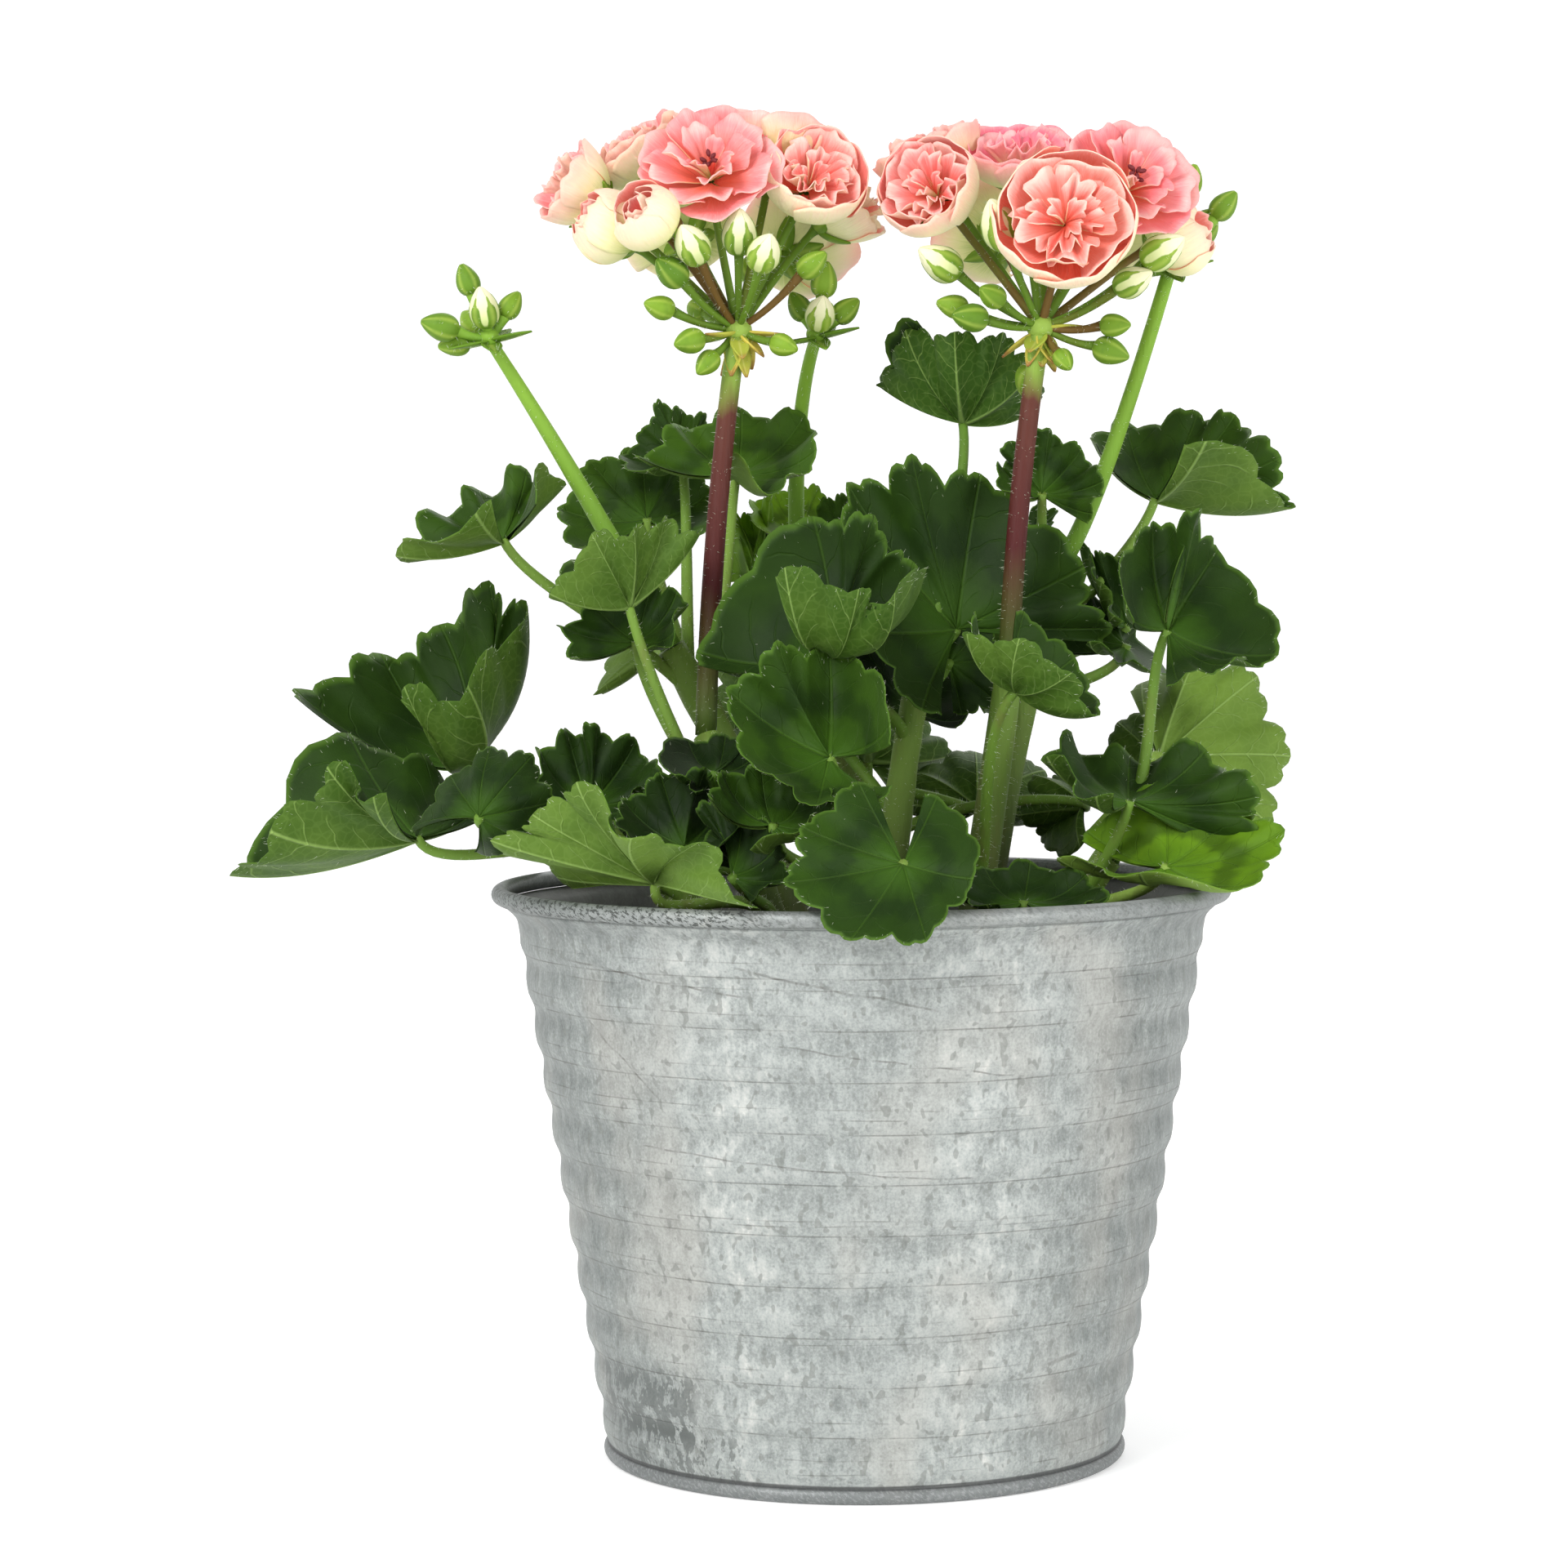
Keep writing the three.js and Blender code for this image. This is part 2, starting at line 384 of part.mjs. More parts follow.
// A leaf: its blade, of a point at the join, a ring half way out and the lobed edge; and its stalk down
// to the stem. A small leaf has no ring.
function leaf(stem, { at, reach, tips: flatTips, root, bow = 0.1, ruffle = 0.05, arch = 0 }) {
  const join = v(...at);
  const tips = flatTips.map((tip) => lobeTip(tip, reach));
  const facing = v(0, 0, 0);
  for (let i = 0; i + 1 < LOBES; i += 1) facing.add(tips[i].clone().cross(tips[i + 1]));
  facing.normalize();
  const split = reach > LARGE_LEAF ? 3 : 2;
  const upper = [join.clone()];
  const lower = [along(join, facing, -BLADE)];
  const place = (turn, s) => {
    const { way, reach: far } = edgeWay(tips, turn);
    const side = edgeWay(tips, turn - 0.02).way.cross(edgeWay(tips, turn + 0.02).way).normalize();
    const normal = side.multiplyScalar(0.6).addScaledVector(facing, 0.4).normalize();
    const wave = ruffle * reach * Math.sin(LOBES * Math.PI * turn) * s * s;
    const point = along(join, way, far * edgeShare(turn) * s);
    point.addScaledVector(normal, wave - bow * reach * 4 * s * (1 - s));
    point.z += arch * 4 * s * (1 - s);
    upper.push(point);
    lower.push(along(point, normal, -BLADE));
  };
  const counts = reach > SMALL_LEAF ? [LOBES, LOBES * split] : [LOBES * split];
  counts.forEach((count, k) => {
    for (let i = 0; i <= count; i += 1) place((2 * i) / count - 1, (k + 1) / counts.length);
  });
  const ringed = counts.length > 1;
  const edge = upper.length - 1 - LOBES * split;
  const faces = [];
  for (let i = 0; i < LOBES; i += 1) {
    const [near, far] = [1 + i, edge + split * i];
    if (ringed) faces.push([0, near, near + 1], [near, far + 1, near + 1]);
    for (let k = 0; k < split; k += 1) {
      faces.push([ringed ? near + Math.min(k, 1) : 0, far + k, far + k + 1]);
    }
  }
  const border = Array.from({ length: LOBES * split + 1 }, (_, i) => edge + i);
  border.unshift(...(ringed ? [0, 1] : [0]));
  if (ringed) border.push(LOBES + 1);
  const blade = sheet(upper, lower, faces, border);

  const start = stemPoint(stem, root);
  const midrib = tips[3].clone().addScaledVector(facing, -tips[3].dot(facing)).normalize();
  const arrival = facing.clone().multiplyScalar(0.85).addScaledVector(midrib, 0.35).normalize();
  const gap = join.distanceTo(start);
  const aside = v(join.x - start.x, join.y - start.y, 0).normalize();
  const leaving = aside.multiplyScalar(0.6).add(v(0, 0, 0.8)).normalize();
  const path = new THREE.CubicBezierCurve3(
    start,
    along(start, leaving, gap * 0.35),
    along(join, arrival, -Math.min(gap * 0.35, 14)),
    along(join, facing, -BLADE / 2),
  );
  return blade.add(bar(path.getPoints(3), LEAF_STALK, 3));
}

// A ring of five petals around look: rows are [share of depth, share of radius, edge points].
function whorl(base, look, radius, depth, rotate, rows) {
  const right = v(0, 0, 1).cross(look).normalize();
  const up = look.clone().cross(right);
  const upper = [base.clone()];
  const lower = [along(base, look, -BLADE)];
  const starts = [];
  rows.forEach(([rise, spread, count, lobe]) => {
    starts.push([upper.length, count]);
    for (let k = 0; k < count; k += 1) {
      const angle = (2 * Math.PI * k) / count;
      const petal = 1 - lobe * (1 - Math.abs(Math.cos(2.5 * angle))) ** 1.5;
      const turned = angle + rotate;
      const out = right.clone().multiplyScalar(Math.cos(turned)).addScaledVector(up, Math.sin(turned));
      const point = along(base, out, radius * spread * petal);
      point.addScaledVector(look, depth * rise * (0.5 + 0.5 * petal));
      upper.push(point);
      lower.push(along(along(point, out, BLADE * 0.8), look, -BLADE * 0.6));
    }
  });
  const faces = [];
  const [[first, few], [second, many]] = starts;
  for (let k = 0; k < few; k += 1) {
    faces.push([0, first + k, first + ((k + 1) % few)]);
    const each = many / few;
    for (let j = 0; j < each; j += 1) {
      faces.push([first + k, second + k * each + j, second + ((k * each + j + 1) % many)]);
    }
    faces.push([first + k, second + ((k * each + each) % many), first + ((k + 1) % few)]);
  }
  const border = Array.from({ length: many }, (_, k) => second + k);
  return sheet(upper, lower, faces, border);
}

// A bloom of two rings of petals, the inner one standing steeper, placed from its hub.
function bloom({ at, look, radius, depth }) {
  const axis = v(...look).normalize();
  const base = along(v(...at), axis, -depth);
  const outer = whorl(base, axis, radius, depth, 0, [[0.35, 0.6, 5, 0], [0.9, 1, 15, 0.28]]);
  const inside = along(base, axis, 0.3);
  const inner = whorl(inside, axis, radius * 0.55, depth, 0.63, [[0.5, 0.6, 5, 0], [0.95, 1, 5, 0]]);
  return outer.add(inner);
}

// A bloom's stalk, from just inside the hub to the widened end below its petals.
function bloomStalk(hub, { at, look, depth }) {
  const axis = v(...look).normalize();
  const end = along(hub.clone().add(v(...at)), axis, -depth - BLADE - SEAT_GAP);
  const neck = along(end, axis, -4.5);
  return bar([hub.clone().lerp(neck, HUB_INSIDE / hub.distanceTo(neck)), neck, end], [1.2, 1, 2.4], 4);
}

// A pointed egg of a bud on its stalk.
function bud(hub, at, radius, thick) {
  const axis = v(...at).normalize();
  const middle = hub.clone().add(v(...at));
  const points = [-1.1, -0.5, 0.45, 1.5].map((share) => along(middle, axis, radius * share));
  const radii = [thick, thick, radius * 0.95, radius * 0.85, 0.3];
  return bar([along(hub, axis, HUB_INSIDE), ...points], radii, 4);
}

// A narrow pointed bract.
function bract(hub, way, length) {
  const axis = v(...way).normalize();
  const side = axis.clone().cross(v(0, 0, 1)).normalize();
  const face = side.clone().cross(axis);
  const middle = along(hub, axis, length * 0.5);
  const points = [hub.clone(), along(middle, side, length * 0.2), along(middle, face, 0.6),
    along(middle, side, -length * 0.2), along(middle, face, -0.6), along(hub, axis, length)];
  const faces = [[0, 1, 2], [0, 2, 3], [0, 3, 4], [0, 4, 1], [5, 2, 1], [5, 3, 2], [5, 4, 3], [5, 1, 4]];
  return body(points, faces);
}

// A stalk from its seat on a stem up to a hub.
function risingStalk({ stem, way: [middle, end], radius }) {
  const seat = stemPoint(STEMS[stem], 1);
  const slope = seat.clone().sub(stemPoint(STEMS[stem], STEM_SHARES[2])).normalize();
  const foot = along(seat, slope, SEAT_GAP);
  const rest = [0.25, 0.5, 0.75, 1].map((t) => curve(foot, v(...middle), v(...end), t));
  return bar([foot, along(foot, slope, 3), ...rest], radius, STEM_SIDES);
}

const BRACT_WAYS = [
  [1, -0.5, 0.1], [-0.9, -0.6, -0.2], [0.1, -1, -0.9], [-0.8, 0.7, 0.1], [0.8, 0.7, -0.3],
];

function flowerStalk(side) {
  const stalk = FLOWER_STALKS[side];
  const hub = v(...stalk.way[1]);
  const parts = [risingStalk(stalk)];
  parts.push(bar([along(hub, v(0, 0, 1), -2.5), along(hub, v(0, 0, 1), 2.5)], [3.4, 3.2], 6));
  BRACT_WAYS.forEach((way) => parts.push(bract(hub, way, 10)));
  BLOOMS[side].forEach((each) => parts.push(bloomStalk(hub, each)));
  BUDS[side].forEach(([at, radius]) => parts.push(bud(hub, at, radius, 0.8)));
  return Manifold.union(parts);
}

function budStalk(side) {
  const stalk = BUD_STALKS[side];
  const hub = v(...stalk.way[1]);
  const parts = [risingStalk(stalk)];
  parts.push(bar([along(hub, v(0, 0, 1), -2), along(hub, v(0, 0, 1), 3)], [1.8, 2.4], 6));
  [[1, -0.3, 0.3], [-0.9, -0.5, -0.1], [0.4, 0.9, 0.4]].forEach((way) => parts.push(bract(hub, way, 11)));
  BUD_HEADS[side].forEach(([at, radius]) => parts.push(bud(hub, at, radius, 1.2)));
  return Manifold.union(parts);
}

// A body turned about the z axis from a closed or axis-to-axis profile of [radius, height] points.
function turned(profile) {
  const points = profile.map(([radius, height]) => new THREE.Vector2(radius, height));
  const lathe = new THREE.LatheGeometry(points, POT_SIDES).rotateX(Math.PI / 2);
  lathe.deleteAttribute('normal');
  lathe.deleteAttribute('uv');
  const { attributes: { position }, index } = mergeVertices(lathe, 0.001);
  const corners = [];
  for (let i = 0; i < position.count; i += 1) corners.push(v(0, 0, 0).fromBufferAttribute(position, i));
  const faces = [];
  for (let i = 0; i < index.count; i += 3) {
    const face = [index.getX(i), index.getX(i + 1), index.getX(i + 2)];
    if (new Set(face).size === 3) faces.push(face);
  }
  return body(corners, faces);
}

// Radius of the middle of the wall's sheet at height z, and of its inside between the ribs.
const wallRadius = (z) => FOOT_RADIUS + WALL_TAPER * z;
const insideRadius = (z) => wallRadius(z) - RIB_BULGE - SHEET;

function potWall() {
  const profile = [[FOOT_BEAD - 0.2, 0], [FOOT_BEAD, 3.4], [FOOT_BEAD - 0.7, 4.6]];
  for (let k = 0; k < RIB_COUNT; k += 1) {
    const [crest, valley] = [1.5, 9].map((rise) => RIB_START + RIB_PITCH * k + rise);
    profile.push([wallRadius(crest) + RIB_BULGE, crest], [wallRadius(valley) - RIB_BULGE, valley]);
  }
  profile.push([wallRadius(LIP_HEIGHT) + 0.2, LIP_HEIGHT]);
  for (let angle = 225; angle <= 525; angle += 60) {
    const turn = THREE.MathUtils.degToRad(angle);
    const [out, up] = [Math.cos(turn) - 1, Math.sin(turn) - 1];
    profile.push([RIM_RADIUS + ROLL_RADIUS * out, POT_HEIGHT + ROLL_RADIUS * up]);
  }
  profile.push([insideRadius(LIP_HEIGHT), LIP_HEIGHT + 0.8], [insideRadius(0), 0], profile[0]);
  return turned(profile);
}

function potBase() {
  const radius = insideRadius(0) - 0.3;
  return turned([[0, 0], [radius, 0], [radius, BASE_PLATE], [0, BASE_PLATE]]);
}

// Soil filling the pot, with a plain hole for each stem.
function soil() {
  const side = (z) => insideRadius(z) - 0.3;
  const bottom = BASE_PLATE + 0.3;
  const brink = SOIL_TOP - 3;
  const heap = turned([[0, bottom], [side(bottom), bottom], [side(brink), brink],
    [side(brink) - 10, SOIL_TOP - 1.5], [25, SOIL_TOP], [0, SOIL_TOP]]);
  const holes = Object.values(STEMS).map(({ way: [foot], radius: [radius] }) => {
    const wide = radius + 2 * STEM_CLEARANCE;
    return bar([v(...foot, STEM_DEPTH - SEAT_GAP), v(...foot, SOIL_TOP + 5)], [wide, wide], STEM_SIDES);
  });
  return heap.subtract(Manifold.union(holes));
}

function stemWithLeaves(name) {
  const stem = STEMS[name];
  return Manifold.union([stemBar(stem), ...LEAVES[name].map((each) => leaf(stem, each))]);
}

// A named mesh from a closed body, with slivers under 0.04 mm taken out.
function piece(name, solid, finish) {
  const { vertProperties, triVerts } = solid.simplify(0.04).getMesh();
  const geometry = new THREE.BufferGeometry();
  geometry.setAttribute('position', new THREE.BufferAttribute(vertProperties, 3));
  geometry.setIndex(new THREE.BufferAttribute(triVerts, 1));
  const mesh = new THREE.Mesh(geometry, new THREE.MeshStandardMaterial(FINISHES[finish]));
  mesh.name = name;
  return mesh;
}

function pot() {
  const group = new THREE.Group();
  group.add(piece('pot_wall', potWall(), 'zinc'));
  group.add(piece('pot_base', potBase(), 'zinc'));
  group.add(piece('soil', soil(), 'soil'));
  return group;
}

function leafyStems() {
  const group = new THREE.Group();
  Object.keys(STEMS).forEach((name) => group.add(piece(`stem_${name}`, stemWithLeaves(name), 'leaf')));
  return group;
}

// The blooms of one head, around its hub.
function flowerHead(side) {
  const head = new THREE.Group();
  head.position.set(...FLOWER_STALKS[side].way[1]);
  BLOOMS[side].forEach((each) => head.add(piece(`bloom_${side}_${each.name}`, bloom(each), 'petal')));
  return head;
}

const plant = new THREE.Group();
plant.name = 'potted_geranium';
plant.add(pot(), leafyStems());
Object.keys(FLOWER_STALKS).forEach((side) => {
  plant.add(piece(`flower_stalk_${side}`, flowerStalk(side), 'peduncle'), flowerHead(side));
});
Object.keys(BUD_STALKS).forEach((side) => {
  plant.add(piece(`bud_stalk_${side}`, budStalk(side), 'bud_stalk'));
});

export default plant;
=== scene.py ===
# %% [markdown]
# # A zonal geranium in a zinc pot
#
# The plant stands in a ribbed planter of galvanised sheet. Nine leafy stems rise from the soil, two of
# them carry full heads of salmon double flowers, and three thinner stalks carry heads that are still in
# bud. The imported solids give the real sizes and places, and everything here is built on them in metres.

# %% Load the solids
import math

import bpy
import numpy as np
from mathutils import Matrix, Vector, noise


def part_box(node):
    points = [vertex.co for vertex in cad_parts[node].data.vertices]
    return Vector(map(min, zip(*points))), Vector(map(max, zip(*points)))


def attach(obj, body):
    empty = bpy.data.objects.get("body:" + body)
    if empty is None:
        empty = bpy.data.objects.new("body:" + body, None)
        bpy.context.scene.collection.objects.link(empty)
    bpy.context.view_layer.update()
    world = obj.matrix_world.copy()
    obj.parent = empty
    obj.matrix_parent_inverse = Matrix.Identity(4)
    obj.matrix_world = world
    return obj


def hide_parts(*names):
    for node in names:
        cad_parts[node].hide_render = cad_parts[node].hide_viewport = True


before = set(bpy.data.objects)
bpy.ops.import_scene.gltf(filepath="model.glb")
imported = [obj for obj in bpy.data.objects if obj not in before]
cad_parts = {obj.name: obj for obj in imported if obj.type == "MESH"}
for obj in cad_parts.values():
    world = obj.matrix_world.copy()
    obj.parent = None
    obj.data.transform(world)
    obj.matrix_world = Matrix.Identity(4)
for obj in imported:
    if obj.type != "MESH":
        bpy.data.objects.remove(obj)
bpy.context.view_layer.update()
MM = 0.001
print("solids:", len(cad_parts))

# %% [markdown]
# ## The camera
#
# The photograph was taken with a long lens, a little above the flower stalks' feet and aimed slightly
# down. The rim and the foot of the pot are circles, so how flat their ellipses look gives the height and
# the distance. The camera is also turned one degree to the left and rolled less than half a degree.

# %% Set up the camera
CAMERA_PLACE = Vector((0, -1.0613, 0.2222))
LENS_MM = 100.2
PITCH_DOWN = math.radians(3.15)
YAW_LEFT = math.radians(1.0)
ROLL = math.radians(-0.42)

ahead = Vector((-math.sin(YAW_LEFT), math.cos(YAW_LEFT), 0))
look = ahead * math.cos(PITCH_DOWN) - Vector((0, 0, math.sin(PITCH_DOWN)))
right = look.cross(Vector((0, 0, 1))).normalized()
above = right.cross(look)
rolled_right = right * math.cos(ROLL) + above * math.sin(ROLL)
rolled_above = above * math.cos(ROLL) - right * math.sin(ROLL)

camera_data = bpy.data.cameras.new("camera")
camera_data.lens = LENS_MM
camera_data.sensor_width = 36
camera_data.clip_start = 0.02
camera = bpy.data.objects.new("camera", camera_data)
camera.matrix_world = Matrix.Translation(CAMERA_PLACE) @ Matrix(
    (rolled_right, rolled_above, -look)
).transposed().to_4x4()
bpy.context.collection.objects.link(camera)
bpy.context.scene.camera = camera
print("camera looks along", tuple(round(x, 3) for x in look))

# %% [markdown]
# ## Shader and geometry maths as Python
#
# A node tree is a formula drawn as boxes. It reads more easily as text, so one small class wraps a socket
# and adds a Math node wherever an operator is used on it. One method adds every other node: it takes the
# node's type, its settings, which come first, and the values or links of its sockets.


# %% Wrap a socket and a node tree
class Wire:
    """An output socket that can be used in sums."""

    def __init__(self, tree, socket):
        self.tree = tree
        self.socket = socket

    def maths(self, operation, *values):
        numbers = dict(enumerate(values))
        return self.tree.add("ShaderNodeMath", {"operation": operation}, numbers)

    def __add__(self, other):
        return self.maths("ADD", self, other)

    def __radd__(self, other):
        return self.maths("ADD", other, self)

    def __sub__(self, other):
        return self.maths("SUBTRACT", self, other)

    def __rsub__(self, other):
        return self.maths("SUBTRACT", other, self)

    def __mul__(self, other):
        return self.maths("MULTIPLY", self, other)

    def __truediv__(self, other):
        return self.maths("DIVIDE", self, other)

    def __pow__(self, other):
        return self.maths("POWER", self, other)

    def __abs__(self):
        return self.maths("ABSOLUTE", self)

    def sin(self):
        return self.maths("SINE", self)

    def cos(self):
        return self.maths("COSINE", self)

    def fract(self):
        return self.maths("FRACT", self)

    def wave_distance(self):
        """How far a number lies from the nearest whole number, from 0 to 0.5."""
        return abs((self + 0.5).fract() - 0.5)

    def step(self, low, high):
        """0 below low, 1 above high and smooth between them."""
        settings = {"interpolation_type": "SMOOTHSTEP"}
        values = {"Value": self, "From Min": low, "From Max": high}
        return self.tree.add("ShaderNodeMapRange", settings, values)


class Tree:
    """A node tree that nodes are added to."""

    def __init__(self, tree):
        self.tree = tree
        tree.nodes.clear()

    def add(self, kind, settings=None, values=None, output=0):
        node = self.tree.nodes.new(kind)
        for key, value in (settings or {}).items():
            setattr(node, key, value)
        for key, value in (values or {}).items():
            self.feed(node.inputs[key], value)
        return Wire(self, node.outputs[output]) if node.outputs else node

    def feed(self, socket, value):
        if isinstance(value, Wire):
            self.tree.links.new(value.socket, socket)
        else:
            socket.default_value = value

    def ramp(self, factor, stops):
        """Colours by a factor; a stop is its place and its red, green and blue."""
        shades = self.add("ShaderNodeValToRGB", None, {"Fac": factor})
        elements = shades.socket.node.color_ramp.elements
        while len(elements) < len(stops):
            elements.new(1)
        for element, (place, *shade) in zip(elements, stops):
            element.position = place
            element.color = colour(*shade)
        return shades

    def mix(self, factor, first, second):
        """Blends two colours."""
        return self.add("ShaderNodeMix", {"data_type": "RGBA"}, {0: factor, 6: first, 7: second}, output=2)

    def attribute(self, name):
        return self.add("ShaderNodeAttribute", {"attribute_name": name}, output="Fac")

    def noise(self, vector, scale, detail=2.0, roughness=0.5):
        values = {"Vector": vector, "Scale": scale, "Detail": detail, "Roughness": roughness}
        return self.add("ShaderNodeTexNoise", None, values)

    def place(self):
        return self.add("ShaderNodeTexCoord", output="Object")

    def stretched(self, vector, scale):
        return self.add("ShaderNodeMapping", None, {"Vector": vector, "Scale": scale})


def colour(red, green, blue):
    return (red, green, blue, 1)


# %% Make a material around one shader
def plain(tree):
    """The finish of what looks the same all over."""
    return {}


def make_material(name, fixed, build):
    """fixed holds the shader's plain values; build returns what changes over the surface."""
    material = bpy.data.materials.new(name)
    material.use_nodes = True
    tree = Tree(material.node_tree)
    shader = tree.add("ShaderNodeBsdfPrincipled", None, {**fixed, **build(tree)})
    tree.add("ShaderNodeOutputMaterial", None, {"Surface": shader})
    return material


def bump(tree, height, distance, strength=1.0):
    values = {"Height": height, "Distance": distance, "Strength": strength}
    return tree.add("ShaderNodeBump", None, values, output="Normal")


# %% [markdown]
# ## A pale studio
#
# The stage is a wide shallow bowl: a flat floor whose rim curves up all round, so that no view sees an
# edge. Three large soft lights stand around it. The key is high on the left of the camera, the second
# fills from the right, and the third lifts the leaves and petals from behind.


# %% Build the stage
STAGE_RADIUS = 2.2
STAGE_CURVE = 1.0
STAGE_SIDES = 96

stage_profile = [(0, 0), (STAGE_RADIUS, 0)]
for step in range(1, 13):
    angle = math.radians(90) * step / 12
    stage_profile.append(
        (STAGE_RADIUS + STAGE_CURVE * math.sin(angle), STAGE_CURVE * (1 - math.cos(angle)))
    )
stage_profile.append((STAGE_RADIUS + STAGE_CURVE, 3.0))


def turned_points(profile, sides):
    """Rings of points about the z axis, one ring for each (radius, height)."""
    angles = np.arange(sides) * 2 * math.pi / sides
    rings = [
        np.column_stack([r * np.cos(angles), r * np.sin(angles), np.full(sides, z)]) for r, z in profile
    ]
    return np.concatenate(rings)


def ring_faces(rings, sides):
    faces = []
    for ring in range(rings - 1):
        for k in range(sides):
            a = ring * sides + k
            b = ring * sides + (k + 1) % sides
            faces.append((a, b, b + sides, a + sides))
    return faces


PAPER_FIXED = {
    "Base Color": colour(0.858, 0.858, 0.858),
    "Roughness": 0.9,
    "Emission Color": colour(1, 1, 1),
    "Emission Strength": 0.32,
}
stage_mesh = bpy.data.meshes.new("studio_floor")
stage_points = turned_points(stage_profile, STAGE_SIDES)
stage_mesh.from_pydata(stage_points.tolist(), [], ring_faces(len(stage_profile), STAGE_SIDES))
stage_mesh.materials.append(make_material("studio_paper", PAPER_FIXED, plain))
stage_mesh.shade_smooth()
floor = bpy.data.objects.new("studio_floor", stage_mesh)
bpy.context.collection.objects.link(floor)
print("stage sides:", STAGE_SIDES)


# %% Place the lights
def soft_light(name, place, size, power):
    data = bpy.data.lights.new(name, "AREA")
    data.shape = "DISK"
    data.size = size
    data.energy = power
    light = bpy.data.objects.new(name, data)
    light.location = place
    light.rotation_euler = (Vector((0, 0, 0.17)) - Vector(place)).to_track_quat("-Z", "Y").to_euler()
    bpy.context.collection.objects.link(light)


soft_light("key", (-0.9, -1.3, 1.3), 0.9, 24)
soft_light("fill", (1.3, -1.2, 0.6), 1.0, 9)
soft_light("rear", (0.3, 1.3, 1.4), 1.0, 8)

world = bpy.data.worlds.new("studio_air")
world.use_nodes = True
world.node_tree.nodes["Background"].inputs["Color"].default_value = colour(1, 1, 1)
world.node_tree.nodes["Background"].inputs["Strength"].default_value = 0.3
bpy.context.scene.world = world
bpy.context.scene.view_settings.view_transform = "Standard"

# %% [markdown]
# ## Helpers for meshes
#
# Leaves, petals and stalks are all small shapes made from rows of points. A tray collects the shapes of
# one piece, each with a material number and with values at its points, such as how far along a stalk a
# point lies. The materials read those values, so their patterns follow the surface. The way in which
# hairs lean is kept at the points too.


# %% Collect shapes in a tray
class Tray:
    """Points, faces and point values of many small shapes that become one mesh."""

    NAMES = ("along", "across", "inside", "tone", "chance", "fuzz", "kind")

    def __init__(self):
        self.points = []
        self.faces = []
        self.slots = []
        self.values = {name: [] for name in self.NAMES}
        self.leans = []
        self.count = 0

    def add(self, points, faces, slot=0, lean=0.0, **values):
        self.points.append(points)
        self.faces.extend(tuple(int(i) + self.count for i in face) for face in faces)
        self.slots.extend([slot] * len(faces))
        for name in self.NAMES:
            self.values[name].append(np.broadcast_to(values.get(name, 0.0), len(points)))
        self.leans.append(np.broadcast_to(lean, (len(points), 3)))
        self.count += len(points)

    def make(self, name, materials):
        mesh = bpy.data.meshes.new(name)
        mesh.from_pydata((np.concatenate(self.points) * MM).tolist(), [], self.faces)
        for material in materials:
            mesh.materials.append(material)
        mesh.polygons.foreach_set("material_index", self.slots)
        for key, lists in self.values.items():
            values = mesh.attributes.new(key, "FLOAT", "POINT")
            values.data.foreach_set("value", np.concatenate(lists).astype(np.float32))
        leans = mesh.attributes.new("lean", "FLOAT_VECTOR", "POINT")
        leans.data.foreach_set("vector", np.concatenate(self.leans).astype(np.float32).ravel())
        mesh.shade_smooth()
        mesh.update()
        made = bpy.data.objects.new(name, mesh)
        bpy.context.collection.objects.link(made)
        return made


def settle(made, nodes):
    """The piece stands for its nodes, which are hidden, and hangs under the root."""
    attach(made, "root")
    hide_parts(*nodes)
    print(made.name, "triangles:", sum(len(p.vertices) - 2 for p in made.data.polygons))


def unit(vectors):
    return vectors / np.linalg.norm(vectors, axis=-1, keepdims=True)


# %% [markdown]
# A thin blade is a grid of points and the same grid again, a blade's thickness lower. The two faces are
# closed along the border. A tube is a row of rings; its frame is carried from ring to ring, so that it
# doesn't twist.


# %% Make blades and tubes
def blade_shape(upper, normals, thickness):
    """Points and faces of a closed sheet; upper is rows by columns of points."""
    rows, columns = upper.shape[:2]
    lower = upper - normals * thickness[..., None]
    points = np.concatenate([upper.reshape(-1, 3), lower.reshape(-1, 3)])
    index = np.arange(rows * columns).reshape(rows, columns)
    quads = np.stack([index[:-1, :-1], index[1:, :-1], index[1:, 1:], index[:-1, 1:]], -1).reshape(-1, 4)
    under = rows * columns
    rim = np.concatenate([index[0, :-1], index[:-1, -1], index[-1, :0:-1], index[:0:-1, 0]])
    following = np.roll(rim, -1)
    walls = np.stack([rim, following, following + under, rim + under], -1)
    return points, np.concatenate([quads, quads[:, ::-1] + under, walls]).tolist()


def ring_frames(path):
    """Two directions across the path at each of its points."""
    tangents = unit(np.gradient(path, axis=0))
    across = np.array([1.0, 0, 0]) if abs(tangents[0][1]) > 0.8 else np.array([0, 1.0, 0])
    frames = []
    for tangent in tangents:
        across = unit(across - tangent * across.dot(tangent))
        frames.append((across, np.cross(tangent, across)))
    return frames


def tube_shape(path, radii, sides):
    """Points and faces of a closed round tube, and how far along it each point lies, from 0 to 1."""
    angles = np.arange(sides) * 2 * math.pi / sides
    rings = [
        centre + radius * (np.outer(np.cos(angles), u) + np.outer(np.sin(angles), w))
        for centre, radius, (u, w) in zip(path, np.broadcast_to(radii, len(path)), ring_frames(path))
    ]
    faces = ring_faces(len(path), sides)
    top = (len(path) - 1) * sides
    faces.append(tuple(range(sides))[::-1])
    faces.append(tuple(range(top, top + sides)))
    return np.concatenate(rings), faces, np.repeat(np.linspace(0, 1, len(path)), sides)


